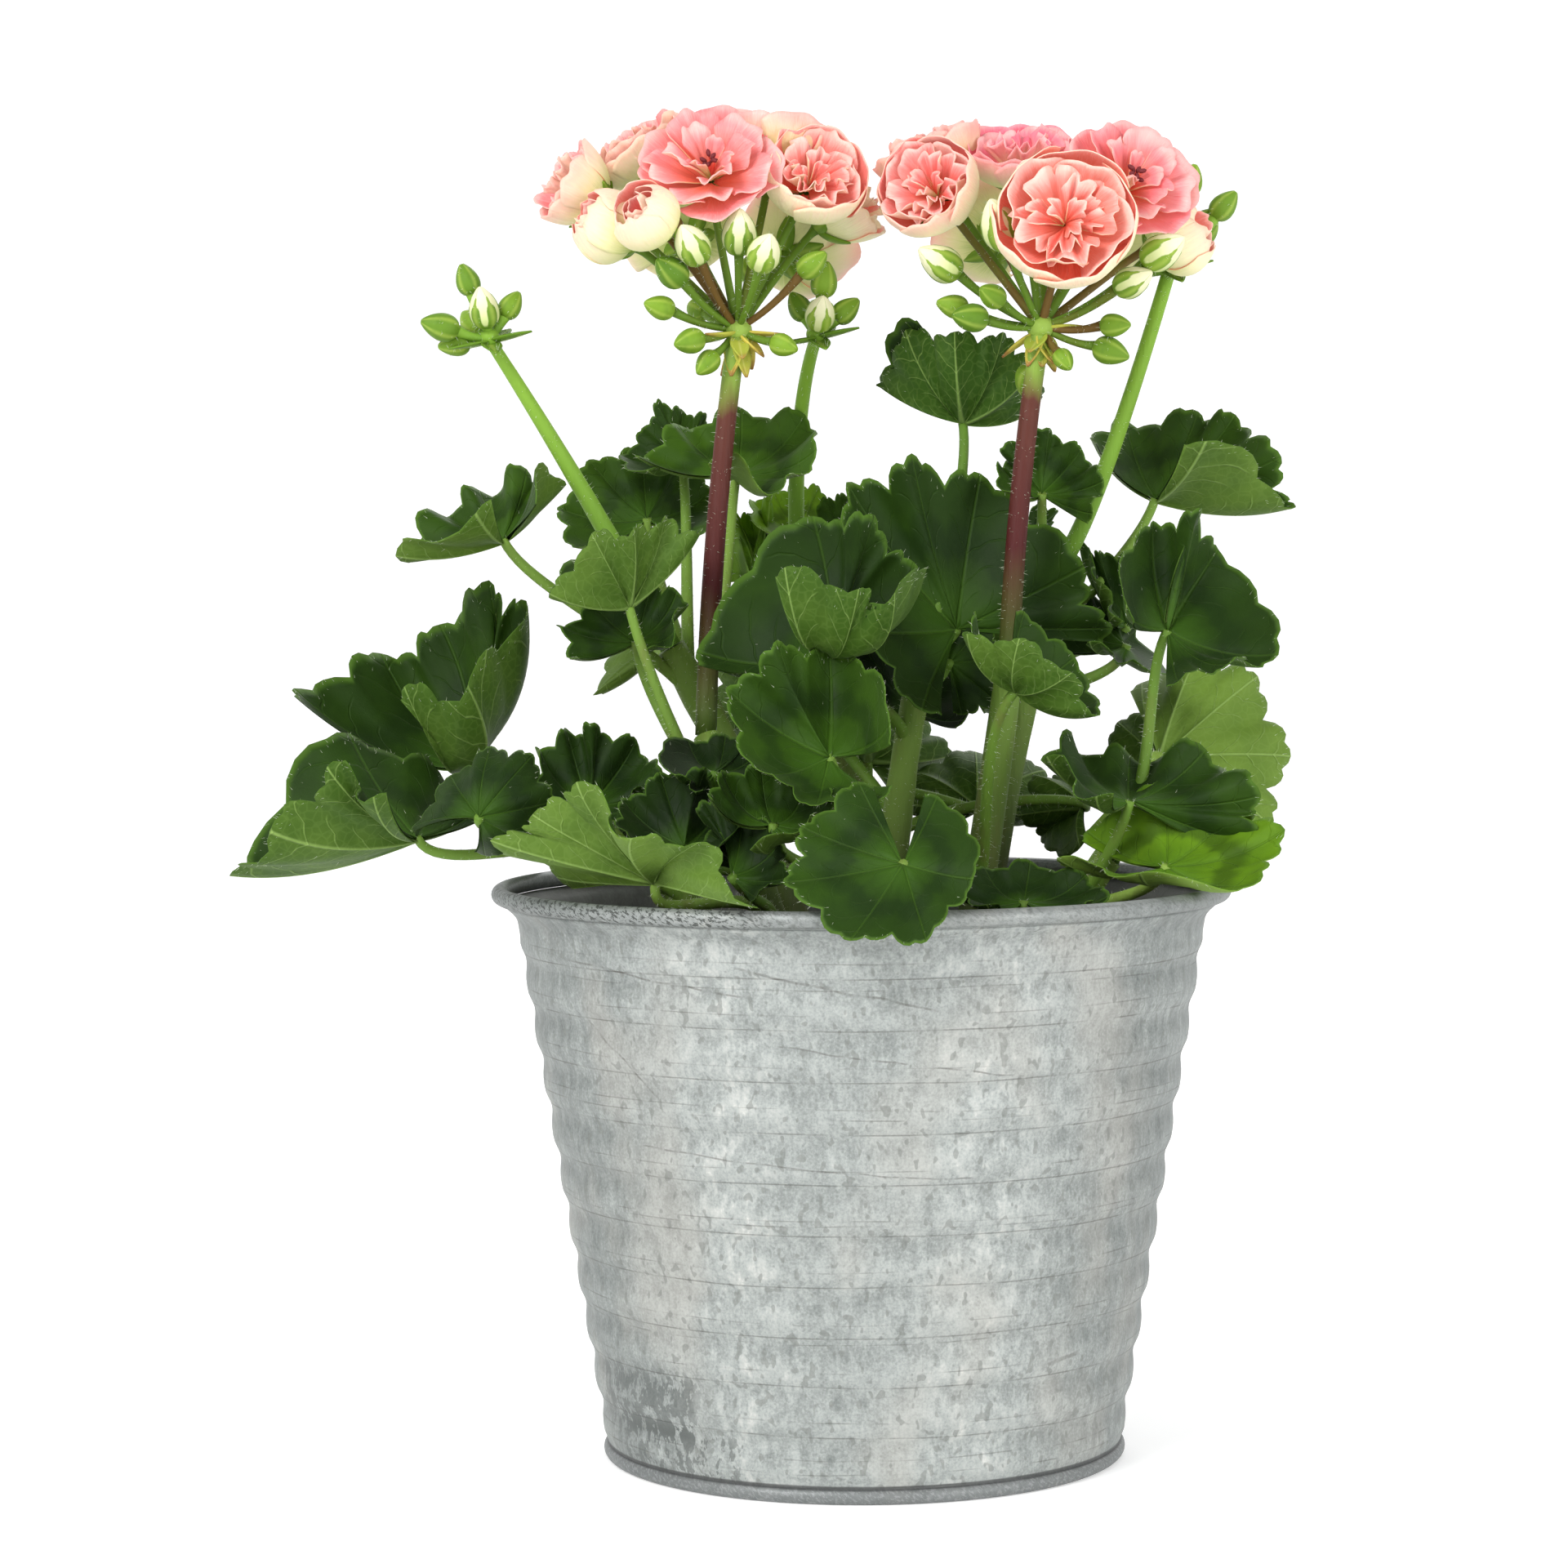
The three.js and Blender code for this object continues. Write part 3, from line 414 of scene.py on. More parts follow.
def curve(start, middle, end, shares):
    """A smooth curve that passes middle half way."""
    a, b, c = (np.array(p, float) for p in (start, middle, end))
    bend = 2 * b - (a + c) / 2
    t = np.asarray(shares)[:, None]
    return a * (1 - t) ** 2 + bend * 2 * t * (1 - t) + c * t**2


# %% [markdown]
# ## The pot
#
# The wall is one galvanised sheet, rolled into ten shallow rings, with a bead at the foot and a rolled
# rim. It could be spun from a drawn outline, but the rings follow a rule, so Geometry Nodes make it: a
# flat grid is bent round the axis, and its radius at each height is the taper plus a wave. The rim and
# the bead are thin rings joined on. The sizes are the tree's named inputs.

# %% Sizes of the pot
RIM_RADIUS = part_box("pot_wall")[1][1]
POT_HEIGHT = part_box("pot_wall")[1][2]
ROLL_RADIUS = 2.1 * MM
FOOT_RADIUS = 61.7 * MM
WALL_TAPER = 0.1633
LIP_HEIGHT = 136.3 * MM
SHEET = 0.9 * MM
RIB_START = 5 * MM
RIB_PITCH = 12 * MM
RIB_BULGE = 0.48 * MM
RIB_SKEW = 1.475
BEAD_RADIUS = 1.9 * MM
POT_AROUND = 180
POT_ROWS = 250
print("rim radius and height, mm:", round(RIM_RADIUS / MM, 1), round(POT_HEIGHT / MM, 1))


# %% Start a geometry tree with named inputs
def geometry_tree(name, sizes, takes_mesh=False):
    """A tree with a geometry output, and its inputs as wires by name."""
    group = bpy.data.node_groups.new(name, "GeometryNodeTree")
    group.interface.new_socket("Geometry", in_out="OUTPUT", socket_type="NodeSocketGeometry")
    if takes_mesh:
        group.interface.new_socket("Mesh", in_out="INPUT", socket_type="NodeSocketGeometry")
    for key, value in sizes.items():
        kind = "NodeSocketInt" if isinstance(value, int) else "NodeSocketFloat"
        socket = group.interface.new_socket(key, in_out="INPUT", socket_type=kind)
        socket.default_value = value
    tree = Tree(group)
    entry = group.nodes.new("NodeGroupInput")
    wires = {socket.name: Wire(tree, socket) for socket in entry.outputs if socket.name}
    return tree, wires


def finish_tree(tree, geometry, material):
    """The last two nodes make instances real and give everything its material."""
    real = tree.add("GeometryNodeRealizeInstances", None, {"Geometry": geometry})
    painted = tree.add("GeometryNodeSetMaterial", None, {"Geometry": real, "Material": material})
    out = tree.tree.nodes.new("NodeGroupOutput")
    tree.feed(out.inputs[0], painted)
    return tree.tree


def run_tree(name, group, sizes, base=None):
    """A plain mesh object from the tree's result on a base mesh, or on nothing."""
    mesh = base.data if base else bpy.data.meshes.new(name)
    carrier = bpy.data.objects.new(name + "_carrier", mesh)
    bpy.context.collection.objects.link(carrier)
    modifier = carrier.modifiers.new("rule", "NODES")
    modifier.node_group = group
    sockets = {item.name: item.identifier for item in group.interface.items_tree if item.in_out == "INPUT"}
    for key, value in sizes.items():
        modifier[sockets[key]] = value
    bpy.context.view_layer.update()
    result = bpy.data.meshes.new_from_object(carrier.evaluated_get(bpy.context.evaluated_depsgraph_get()))
    carrier.modifiers.remove(modifier)
    bpy.data.objects.remove(carrier)
    result.name = name
    made = bpy.data.objects.new(name, result)
    bpy.context.collection.objects.link(made)
    return made


# %% The wall's rule
POT_SIZES = {
    "Foot radius": FOOT_RADIUS,
    "Taper": WALL_TAPER,
    "Lip height": LIP_HEIGHT,
    "Sheet": SHEET,
    "Rib start": RIB_START,
    "Rib pitch": RIB_PITCH,
    "Rib bulge": RIB_BULGE,
    "Rim radius": RIM_RADIUS,
    "Height": POT_HEIGHT,
    "Roll radius": ROLL_RADIUS,
    "Bead radius": BEAD_RADIUS,
    "Sides": POT_AROUND,
    "Rows": POT_ROWS,
}


def ring_round(tree, radius, thick, height, sides):
    """A ring of round wire at a height."""
    circle = tree.add("GeometryNodeCurvePrimitiveCircle", None, {"Resolution": sides, "Radius": radius})
    section = tree.add("GeometryNodeCurvePrimitiveCircle", None, {"Resolution": 20, "Radius": thick})
    ring = tree.add("GeometryNodeCurveToMesh", None, {"Curve": circle, "Profile Curve": section})
    lift = tree.add("ShaderNodeCombineXYZ", None, {"Z": height})
    return tree.add("GeometryNodeTransform", None, {"Geometry": ring, "Translation": lift})


def pot_tree(material):
    tree, size = geometry_tree("pot_wall_rule", POT_SIZES)
    grid = tree.add(
        "GeometryNodeMeshGrid", None,
        {"Size X": 1, "Size Y": 1, "Vertices X": size["Sides"], "Vertices Y": size["Rows"]},
    )
    place = tree.add("GeometryNodeInputPosition")
    turn = (tree.add("ShaderNodeSeparateXYZ", None, {"Vector": place}, "X") + 0.5) * (2 * math.pi)
    loop = tree.add("ShaderNodeSeparateXYZ", None, {"Vector": place}, "Y") + 0.5
    height = (1 - abs(loop * 2 - 1)) * size["Lip height"]
    outer = tree.add("ShaderNodeMath", {"operation": "LESS_THAN"}, {0: loop, 1: 0.5}) * 2 - 1
    phase = ((height - size["Rib start"] - 0.0015) / size["Rib pitch"]).fract() ** RIB_SKEW
    ribbed = height.step(0.004, 0.0065) * (1 - height.step(LIP_HEIGHT - 0.012, LIP_HEIGHT - 0.008))
    wave = (phase * (2 * math.pi)).cos() * size["Rib bulge"] * ribbed
    radius = size["Foot radius"] + size["Taper"] * height + wave + outer * size["Sheet"] * 0.5
    flare = height.step(LIP_HEIGHT - 0.006, LIP_HEIGHT) ** 2
    radius = radius + flare * (size["Rim radius"] - size["Foot radius"] - size["Taper"] * height - 0.003)
    spot = {"X": turn.cos() * radius, "Y": turn.sin() * radius, "Z": height}
    moved = tree.add("ShaderNodeCombineXYZ", None, spot)
    named = {"data_type": "FLOAT", "domain": "POINT"}
    # The inner face is marked, so that the finish can darken it as painted shade.
    inner = {"Geometry": grid, "Name": "inside", "Value": (1 - outer) / 2}
    grid = tree.add("GeometryNodeStoreNamedAttribute", named, inner)
    wall = tree.add("GeometryNodeSetPosition", None, {"Geometry": grid, "Position": moved})
    wall = tree.add("GeometryNodeMergeByDistance", None, {"Geometry": wall, "Distance": 0.00001})
    roll = size["Roll radius"]
    rim = ring_round(tree, size["Rim radius"] - roll, roll, size["Height"] - roll, size["Sides"])
    bead = size["Bead radius"]
    foot = ring_round(tree, size["Foot radius"] + 0.0002, bead, bead, size["Sides"])
    joined = tree.add("GeometryNodeJoinGeometry")
    for part in (foot, rim, wall):
        tree.tree.links.new(part.socket, joined.socket.node.inputs[0])
    smooth = tree.add("GeometryNodeSetShadeSmooth", None, {"Geometry": joined})
    return finish_tree(tree, smooth, material)


# %% [markdown]
# ### The zinc
#
# Hot-dip galvanised sheet is mottled: crystals of zinc reflect a little more or less, weathering adds
# warm and whitish clouds, and the rolling leaves fine dark rings. Light is painted on as well: two lighter
# upright bands are a painted highlight, and the sides, the hollows between the ribs and the inside are
# darkened as painted shade. Patterns are worked out from a point's height and its place round the pot, so
# that rings stay level and streaks stay upright. Single marks, such as the long scratches and the flaked
# patch at the lower left, are placed one by one on the front.

# %% Marks on the zinc
# Scratches on the front: start and end, across and up, in metres, and the width.
SCRATCHES = [
    ((-0.078, 0.127), (-0.026, 0.1195), 0.00035),
    ((-0.03, 0.1265), (0.018, 0.1165), 0.0004),
    ((-0.064, 0.112), (-0.046, 0.094), 0.0003),
    ((-0.02, 0.1085), (0.044, 0.0995), 0.0003),
    ((-0.052, 0.083), (0.03, 0.0765), 0.0003),
    ((0.041, 0.0305), (0.051, 0.0325), 0.0007),
    ((0.008, 0.1255), (0.011, 0.1255), 0.0008),
]
# The flaked patch on the front: from left to right and from low to high, in metres.
FLAKES = ((-0.06, -0.042), (0.0165, 0.0255))
# How far out the two lighter upright bands of painted highlight lie, as a share of the radius.
LIT_BAND = 0.39
ZINC_TONES = [
    (0.0, 0.12, 0.135, 0.13), (0.3, 0.24, 0.26, 0.25), (0.55, 0.38, 0.405, 0.39),
    (0.8, 0.5, 0.515, 0.49), (1.0, 0.66, 0.66, 0.62),
]
print("scratches:", len(SCRATCHES))


def scratch(x, z, start, end, width):
    """1 on a thin straight mark and 0 off it."""
    length = math.dist(start, end)
    right, up = (end[0] - start[0]) / length, (end[1] - start[1]) / length
    along = (x - start[0]) * right + (z - start[1]) * up
    aside = abs((z - start[1]) * right - (x - start[0]) * up)
    ends = along.step(0, 0.002) * (1 - along.step(length - 0.002, length))
    return (1 - aside.step(width * 0.3, width)) * ends


def soft_range(value, low, high, blur):
    """1 between low and high, fading over blur outside them."""
    return value.step(low - blur, low) * (1 - value.step(high, high + blur))


# %% How light the zinc is
def zinc_tone(tree, place, across, z):
    """Clouds, crystals, streaks, grain, painted highlight bands and painted shade at the sides and in the rib
    hollows; also the relief and blotches.
    """
    cloud = tree.noise(tree.stretched(place, (1, 1, 0.8)), 42, 3, 0.6)
    blotch = tree.noise(tree.stretched(place, (1, 1, 0.7)), 240, 3, 0.7)
    spangle = tree.add("ShaderNodeTexVoronoi", None, {"Vector": place, "Scale": 260}, "Color")
    spangle = tree.add("ShaderNodeSeparateXYZ", None, {"Vector": spangle}, "X")
    streak = tree.noise(tree.stretched(place, (1, 1, 0.25)), 700, 2, 0.7)
    grain = tree.noise(place, 1500, 1, 0.7)
    # Painted highlight: two lighter upright bands, stronger on the whitish blotches.
    painted_highlight = 1 - abs(abs(across) - LIT_BAND).step(0.0, 0.24)
    # Painted shade: the pot's left and right sides, as seen from the front, are darkened.
    shade = abs(across).step(0.5, 1.0)
    # Painted shade in the hollows between the ribs.
    hollow = ((z - RIB_START - 0.0015) / RIB_PITCH).wave_distance().step(0.1, 0.5)
    tone = (cloud - 0.5) * 0.3 + (blotch - 0.5) * 0.5 + (spangle - 0.5) * 0.08 + (streak - 0.5) * 0.36
    tone = tone + (grain - 0.5) * 0.45 + painted_highlight * (0.06 + blotch.step(0.5, 0.66) * 0.16) - shade * 0.22
    return tone - hollow * 0.09 + 0.485, 0.2 + streak * 0.4 + grain * 0.35, blotch


# %% Lines, scratches and flakes
def ring_lines(tree, turn, z):
    """The dark lines that the rolls leave: two at each rib and some fainter ones between."""
    round_pot = tree.add("ShaderNodeCombineXYZ", None, {"X": turn, "Y": z * 30})
    wander = (tree.noise(round_pot, 1.3, 1) - 0.5) * 0.0016
    broken = tree.noise(tree.add("ShaderNodeCombineXYZ", None, {"X": turn, "Y": z * 60}), 5, 2, 0.7)
    first = ((z + wander - RIB_START - 0.011) / RIB_PITCH).wave_distance() * RIB_PITCH
    second = ((z + wander * 1.6 - RIB_START - 0.0145) / RIB_PITCH).wave_distance() * RIB_PITCH
    third = ((z + wander * 2.4 - RIB_START - 0.006) / (RIB_PITCH * 2.3)).wave_distance() * RIB_PITCH * 2.3
    line = (1 - first.step(0.00005, 0.00028)) * broken.step(0.3, 0.6) * 0.45
    line = line + (1 - second.step(0.00005, 0.00025)) * broken.step(0.4, 0.66) * 0.38
    return line + (1 - third.step(0.00005, 0.00025)) * (1 - broken).step(0.4, 0.62) * 0.36


def scratch_marks(tree, place, x, z):
    """All the scratches, a little shaken."""
    shake = tree.noise(place, 80, 1) - 0.5
    rough_x = x + shake * 0.0012
    rough_z = z + shake * 0.0016
    return sum(scratch(rough_x, rough_z, *mark) for mark in SCRATCHES)


def flaked_patch(tree, place, x, z, front):
    """Where the light skin has flaked off: a patch and a trail that runs down from it."""
    (left, right), (low, high) = FLAKES
    spot = soft_range(x, left, right, 0.007) * soft_range(z, low, high, 0.007) * front
    trail = soft_range(x, left + 0.006, right + 0.01, 0.01) * soft_range(z, 0.005, low - 0.004, 0.005)
    trail = trail * front
    flake = tree.noise(tree.stretched(place, (1, 1, 0.55)), 330, 3, 0.75)
    return (flake + spot * 0.14 + trail * 0.08).step(0.6, 0.63) * (spot + trail)


# %% The rim, the foot and the inside
def rim_and_foot(tree, base, x, z, turn, front):
    """Darker nicked metal on the rim and the foot, a dark seam over the foot and painted shade over the
    inside.
    """
    rim = z.step(POT_HEIGHT - 0.0046, POT_HEIGHT - 0.0038)
    slant = tree.add("ShaderNodeCombineXYZ", None, {"X": turn + z * 12, "Y": z * 14})
    nicks = tree.noise(slant, 75, 2, 0.75)
    worn = 0.3 + soft_range(x, -0.085, -0.035, 0.025) * front * 0.7
    base = tree.mix(rim * 0.5, base, colour(0.2, 0.215, 0.21))
    base = tree.mix(rim * nicks.step(0.5, 0.58) * worn * 0.85, base, colour(0.045, 0.05, 0.045))
    foot = 1 - z.step(0.0035, 0.0048)
    base = tree.mix(foot * 0.8, base, colour(0.15, 0.16, 0.16))
    base = tree.mix(foot * nicks.step(0.5, 0.6) * 0.5, base, colour(0.32, 0.33, 0.33))
    base = tree.mix(soft_range(z, 0.0036, 0.0042, 0.0004) * 0.7, base, colour(0.05, 0.05, 0.05))
    # Painted shade: the inner face of the sheet is darkened.
    return tree.mix(tree.attribute("inside") * 0.7, base, colour(0.09, 0.09, 0.08))


# %% The zinc finish
def zinc_finish(tree):
    place = tree.place()
    x, y, z = (tree.add("ShaderNodeSeparateXYZ", None, {"Vector": place}, axis) for axis in "XYZ")
    turn = tree.add("ShaderNodeMath", {"operation": "ARCTAN2"}, {0: y, 1: x})
    across = x / ((x * x + y * y) ** 0.5 + 0.0001)
    front = 1 - y.step(-0.01, 0.01)
    tone, height, blotch = zinc_tone(tree, place, across, z)
    base = tree.ramp(tone, ZINC_TONES)
    warm = tree.noise(tree.stretched(place, (1, 1, 0.6)), 30, 2, 0.6)
    base = tree.mix(warm.step(0.5, 0.72) * 0.28, base, colour(0.5, 0.47, 0.42))
    speck = tree.noise(tree.stretched(place, (1, 1, 0.7)), 460, 1, 0.5).step(0.62, 0.68)
    base = tree.mix(speck * 0.5, base, colour(0.17, 0.18, 0.165))
    line = ring_lines(tree, turn, z)
    marks = scratch_marks(tree, place, x, z) * blotch.step(0.35, 0.6)
    dark = (line + marks * front * 0.5) * z.step(0.004, 0.006)
    base = tree.mix(dark, base, colour(0.075, 0.07, 0.06))
    base = tree.mix(flaked_patch(tree, place, x, z, front) * 0.62, base, colour(0.1, 0.11, 0.105))
    base = rim_and_foot(tree, base, x, z, turn, front)
    rough = 0.5 + (height - 0.55) * 0.3 + line * 0.15
    relief = bump(tree, height - line * 1.2, 0.00025, 0.4)
    return {"Base Color": base, "Roughness": rough, "Normal": relief}


zinc = make_material("weathered_zinc", {"Metallic": 0.35, "Specular IOR Level": 0.3}, zinc_finish)
pot_wall = run_tree("pot_wall_sheet", pot_tree(zinc), POT_SIZES)
settle(pot_wall, ["pot_wall"])


# %% [markdown]
# The base is a disc pressed into the foot. It is seen only from below, where a shallow ring is stamped in
# it. The soil is a low heap of crumbs that ends under the leaves.


# %% The base disc
BASE_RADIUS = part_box("pot_base")[1][0] / MM
base_profile = [(0.01, 0.9), (18, 0.9), (20, 0.3), (44, 0.3), (46, 0), (BASE_RADIUS - 1, 0)]
base_profile += [(BASE_RADIUS - 0.2, 0.3), (BASE_RADIUS - 0.2, 1.1), (0.01, 1.1)]
base_tray = Tray()
base_sides = 96
base_points = turned_points(base_profile, base_sides)
base_faces = ring_faces(len(base_profile), base_sides)
base_faces.append(tuple(range(base_sides))[::-1])
base_faces.append(tuple(range(len(base_points) - base_sides, len(base_points))))
base_tray.add(base_points, base_faces)
pot_base = base_tray.make("pot_base_disc", [zinc])
settle(pot_base, ["pot_base"])


# %% The soil
SOIL_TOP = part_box("soil")[1][2] / MM
SOIL_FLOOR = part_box("soil")[0][2] / MM
SOIL_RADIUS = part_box("soil")[1][1] / MM
SOIL_SIDES = 160
SOIL_RINGS = 60
SOIL_EDGE = 12
CRUMB_SPARE = 2.4


def crumb_height(x, y):
    spot = Vector((x, y, 0))
    lumps = noise.fractal(spot * 0.09, 0.8, 2.2, 5)
    return lumps * 1.6 + noise.noise(spot * 0.9) * 0.5


def soil_shape():
    radii = np.linspace(0.4, SOIL_RADIUS - 1, SOIL_RINGS)
    sink = np.clip(radii - SOIL_RADIUS + SOIL_EDGE, 0, None) * 0.25
    top = turned_points([(r, SOIL_TOP - CRUMB_SPARE - s) for r, s in zip(radii, sink)], SOIL_SIDES)
    top[:, 2] += [crumb_height(x, y) for x, y, _ in top]
    wall = turned_points([(SOIL_RADIUS * 0.78, SOIL_FLOOR + 0.5), (0.4, SOIL_FLOOR + 0.5)], SOIL_SIDES)
    faces = [face[::-1] for face in ring_faces(SOIL_RINGS + 2, SOIL_SIDES)]
    faces.append(tuple(range(SOIL_SIDES)))
    faces.append(tuple(range((SOIL_RINGS + 1) * SOIL_SIDES, (SOIL_RINGS + 2) * SOIL_SIDES))[::-1])
    return np.concatenate([top, wall]), faces


def soil_finish(tree):
    crumbs = tree.noise(tree.place(), 420, 4, 0.7)
    fibre = tree.noise(tree.stretched(tree.place(), (1, 0.25, 1)), 600, 3, 0.6).step(0.62, 0.7)
    base = tree.mix(crumbs.step(0.3, 0.75), colour(0.012, 0.008, 0.005), colour(0.075, 0.05, 0.032))
    base = tree.mix(fibre * 0.5, base, colour(0.2, 0.13, 0.08))
    return {"Base Color": base, "Normal": bump(tree, crumbs, 0.0015)}


soil_tray = Tray()
soil_tray.add(*soil_shape())
soil = soil_tray.make("soil_heap", [make_material("potting_soil", {"Roughness": 0.95}, soil_finish)])
settle(soil, ["soil"])

# %% [markdown]
# ## Stems
#
# Each stem rises from its hole in the soil along a smooth curve through three points. It is thicker at
# the foot, with a slight knee wherever a leaf's stalk starts. The same points, in millimetres, are in the
# solids.

# %% The stems' ways
STEM_DEPTH = 104
STEM_FREE = 118
SEAT_GAP = 0.3

STEMS = {
    "left": ([(-28, -10), (-40, -14, 134), (-56, -16, 150)], (3.8, 2.6)),
    "front_left": ([(-16, -24), (-26, -20, 146), (-37, -10, 176)], (3.8, 3.2)),
    "front": ([(6, -30), (1, -38, 138), (-5, -42, 162)], (3.4, 2.4)),
    "upper_left": ([(-14, 10), (-27, 9, 158), (-46, 6, 197)], (5, 3.6)),
    "middle": ([(6, 4), (9, 4, 155), (15, 2, 192)], (4.2, 3)),
    "right_stem": ([(25, -8), (31, -7, 155), (36, -6, 190)], (4.2, 3.4)),
    "upper_right": ([(28, 12), (37, 16, 168), (49, 24, 215)], (4.6, 3)),
    "right": ([(42, -14), (50, -16, 132), (60, -16, 146)], (3.6, 2.6)),
    "back": ([(4, 34), (-2, 40, 160), (-15, 40, 205)], (4.2, 2.8)),
}


def stem_points(name, shares):
    (foot, middle, end), _ = STEMS[name]
    return curve((*foot, STEM_FREE), middle, end, shares)


print("stems:", len(STEMS))


# %% [markdown]
# ## Leaves
#
# A zonal geranium's leaf is a round blade of seven shallow lobes with scalloped edges, open in a notch at
# its stalk. It could be cut from a flat outline and bent, but every leaf here is folded its own way, so
# each is described by where its seven lobe tips lie, and a smooth curve through them is the edge. The
# blade is spanned from the join out to that edge, hollowed or arched, and waved along the rim. Its veins
# run to the lobe tips, sunk in the upper face and raised on the lower one.

# %% Sizes of a blade
LOBES = 7
COLUMNS_A_LOBE = 12
BLADE_ROWS = 15
BLADE_THICK = 0.55
FORWARD = 0.6
END_LOBE = 0.22
VEIN_WIDTH = 0.9
VEIN_RELIEF = 0.35
RIM_LEAN = 2.5
LOBE_DEPTH = 0.11
TOOTH_DEPTH = 0.045
TEETH_A_LOBE = 3
CORNER_CUT = 0.25
PUCKER = 0.02
FRILL = 0.012


def leaf(name, join, reach, root, tone, bow=0.1, ruffle=0.05, arch=0, tips=()):
    """A leaf's facts: root is how far up the stem its stalk starts; tone is from dark to light, partly the
    leaf's own green and partly painted light, lighter for leaves lit from behind.
    """
    return dict(
        name=name, join=np.array(join, float), reach=reach, root=root, tone=tone,
        bow=bow, ruffle=ruffle, arch=arch, tips=lobe_tips(tips, reach),
    )


def lobe_tips(flat_tips, reach):
    """The tips' places from the join: what a lobe lacks of its reach goes into depth."""
    tips = []
    for right, up, way in flat_tips:
        flat = math.hypot(right, up)
        full = max(flat, flat + FORWARD * (reach - flat))
        tips.append((right, way * math.sqrt(full**2 - flat**2), up))
    return np.array(tips)


# %% The edge of a blade
def edge_ways(tips, turns):
    """Unit vectors towards the edge at each turn, from -1 round to 1, and the reach there."""
    ends = np.vstack([2 * tips[0] - tips[1], tips, 2 * tips[-1] - tips[-2]])
    place = (turns + 1) / 2 * LOBES - 0.5
    first = np.clip(np.floor(place).astype(int), 0, LOBES - 2)
    f = np.clip(place - first, -END_LOBE, 1 + END_LOBE)[:, None]
    a, b, c, d = (ends[first + k] for k in range(4))
    ways = 2 * b + (c - a) * f + (2 * a - 5 * b + 4 * c - d) * f**2 + (3 * b - a - 3 * c + d) * f**3
    share = np.clip(f[:, 0], 0, 1)
    reach = np.linalg.norm(b, axis=1) * (1 - share) + np.linalg.norm(c, axis=1) * share
    return unit(ways), reach


def edge_shares(turns):
    """How far the edge goes as a share of the reach: rounded lobes, small teeth, cut corners."""
    place = (turns + 1) / 2 * LOBES
    t = place - np.minimum(np.floor(place), LOBES - 1)
    notch = 1 - LOBE_DEPTH * np.abs(2 * t - 1) ** 2.4
    teeth = 1 + TOOTH_DEPTH * (np.abs(np.sin(TEETH_A_LOBE * math.pi * t)) ** 0.7 - 1)
    corner = 1 - CORNER_CUT * np.clip((np.abs(turns) - 0.9) / 0.1, 0, 1) ** 2
    return notch * teeth * corner


# %% A blade
def blade(tray, one, chance):
    tips, reach = one["tips"], one["reach"]
    turns = np.linspace(-1, 1, LOBES * COLUMNS_A_LOBE + 1)
    out = np.linspace(0, 1, BLADE_ROWS + 1)[:, None] ** 0.9
    ways, far = edge_ways(tips, turns)
    sides = unit(np.cross(edge_ways(tips, turns - 0.02)[0], edge_ways(tips, turns + 0.02)[0]))
    facing = unit(np.cross(tips[:-1], tips[1:]).sum(axis=0))
    normals = unit(0.6 * sides + 0.4 * facing)
    t = ((turns + 1) / 2 * LOBES) % 1
    vein_gap = np.abs(t - 0.5) * out * far * 0.85
    vein = np.exp(-((vein_gap / VEIN_WIDTH) ** 2)) * (1 - out**4)
    pucker = np.sin(math.pi * t) ** 2 * -PUCKER * reach * out * (1 - out**3)
    wave = one["ruffle"] * reach * np.sin(LOBES * math.pi * turns) * out**2
    frill = FRILL * reach * np.sin(23 * turns + 40 * chance) * out**4
    hollow = 4 * out * (1 - out)
    rise = wave + frill + pucker - VEIN_RELIEF * vein - one["bow"] * reach * hollow
    points = one["join"] + ways * (far * edge_shares(turns) * out)[..., None] + normals * rise[..., None]
    points[..., 2] += one["arch"] * hollow
    thick = BLADE_THICK * (1 - 0.5 * out**3) + 1.6 * VEIN_RELIEF * vein
    normals = np.broadcast_to(normals, points.shape)
    shape, faces = blade_shape(points, normals, thick)
    count = turns.size * out.size
    across = np.tile(np.broadcast_to(turns, (out.size, turns.size)).ravel(), 2)
    along = np.tile(np.broadcast_to(out, (out.size, turns.size)).ravel(), 2)
    inside = np.repeat([1.0, 0.0], count)
    fuzz = np.clip((along - 0.92) / 0.06, 0.006, 1)
    tray.add(
        shape, faces, 0, lean=np.tile(ways, (2 * out.size, 1)) * RIM_LEAN, along=along, across=across,
        inside=inside, tone=one["tone"], chance=chance, fuzz=fuzz,
    )
    return facing


# %% A leaf with its stalk
STALK_SIDES = 10
LEAF_STALK = (1.7, 1.15)


def bezier(points, shares):
    a, b, c, d = (np.array(p, float) for p in points)
    t = np.asarray(shares)[..., None]
    return a * (1 - t) ** 3 + 3 * b * t * (1 - t) ** 2 + 3 * c * t**2 * (1 - t) + d * t**3


def leaf_with_stalk(tray, stem, one, chance):
    facing = blade(tray, one, chance)
    join, midrib = one["join"], one["tips"][3]
    start = stem_points(stem, np.array([one["root"]]))[0]
    midrib = unit(midrib - facing * facing.dot(midrib))
    arrival = unit(0.85 * facing + 0.35 * midrib)
    gap = np.linalg.norm(join - start)
    aside = unit((join - start) * (1, 1, 0))
    leaving = unit(0.6 * aside + np.array([0, 0, 0.8]))
    ends = (start, start + leaving * gap * 0.35, join - arrival * min(gap * 0.35, 14), join - facing * 0.3)
    shares = np.linspace(0, 1, 22)
    radii = LEAF_STALK[0] + (LEAF_STALK[1] - LEAF_STALK[0]) * shares + 0.6 * np.exp(-((shares / 0.05) ** 2))
    points, faces, along = tube_shape(bezier(ends, shares), radii, STALK_SIDES)
    tray.add(points, faces, 1, along=along, tone=one["tone"], chance=chance, fuzz=1.0, kind=0.0)


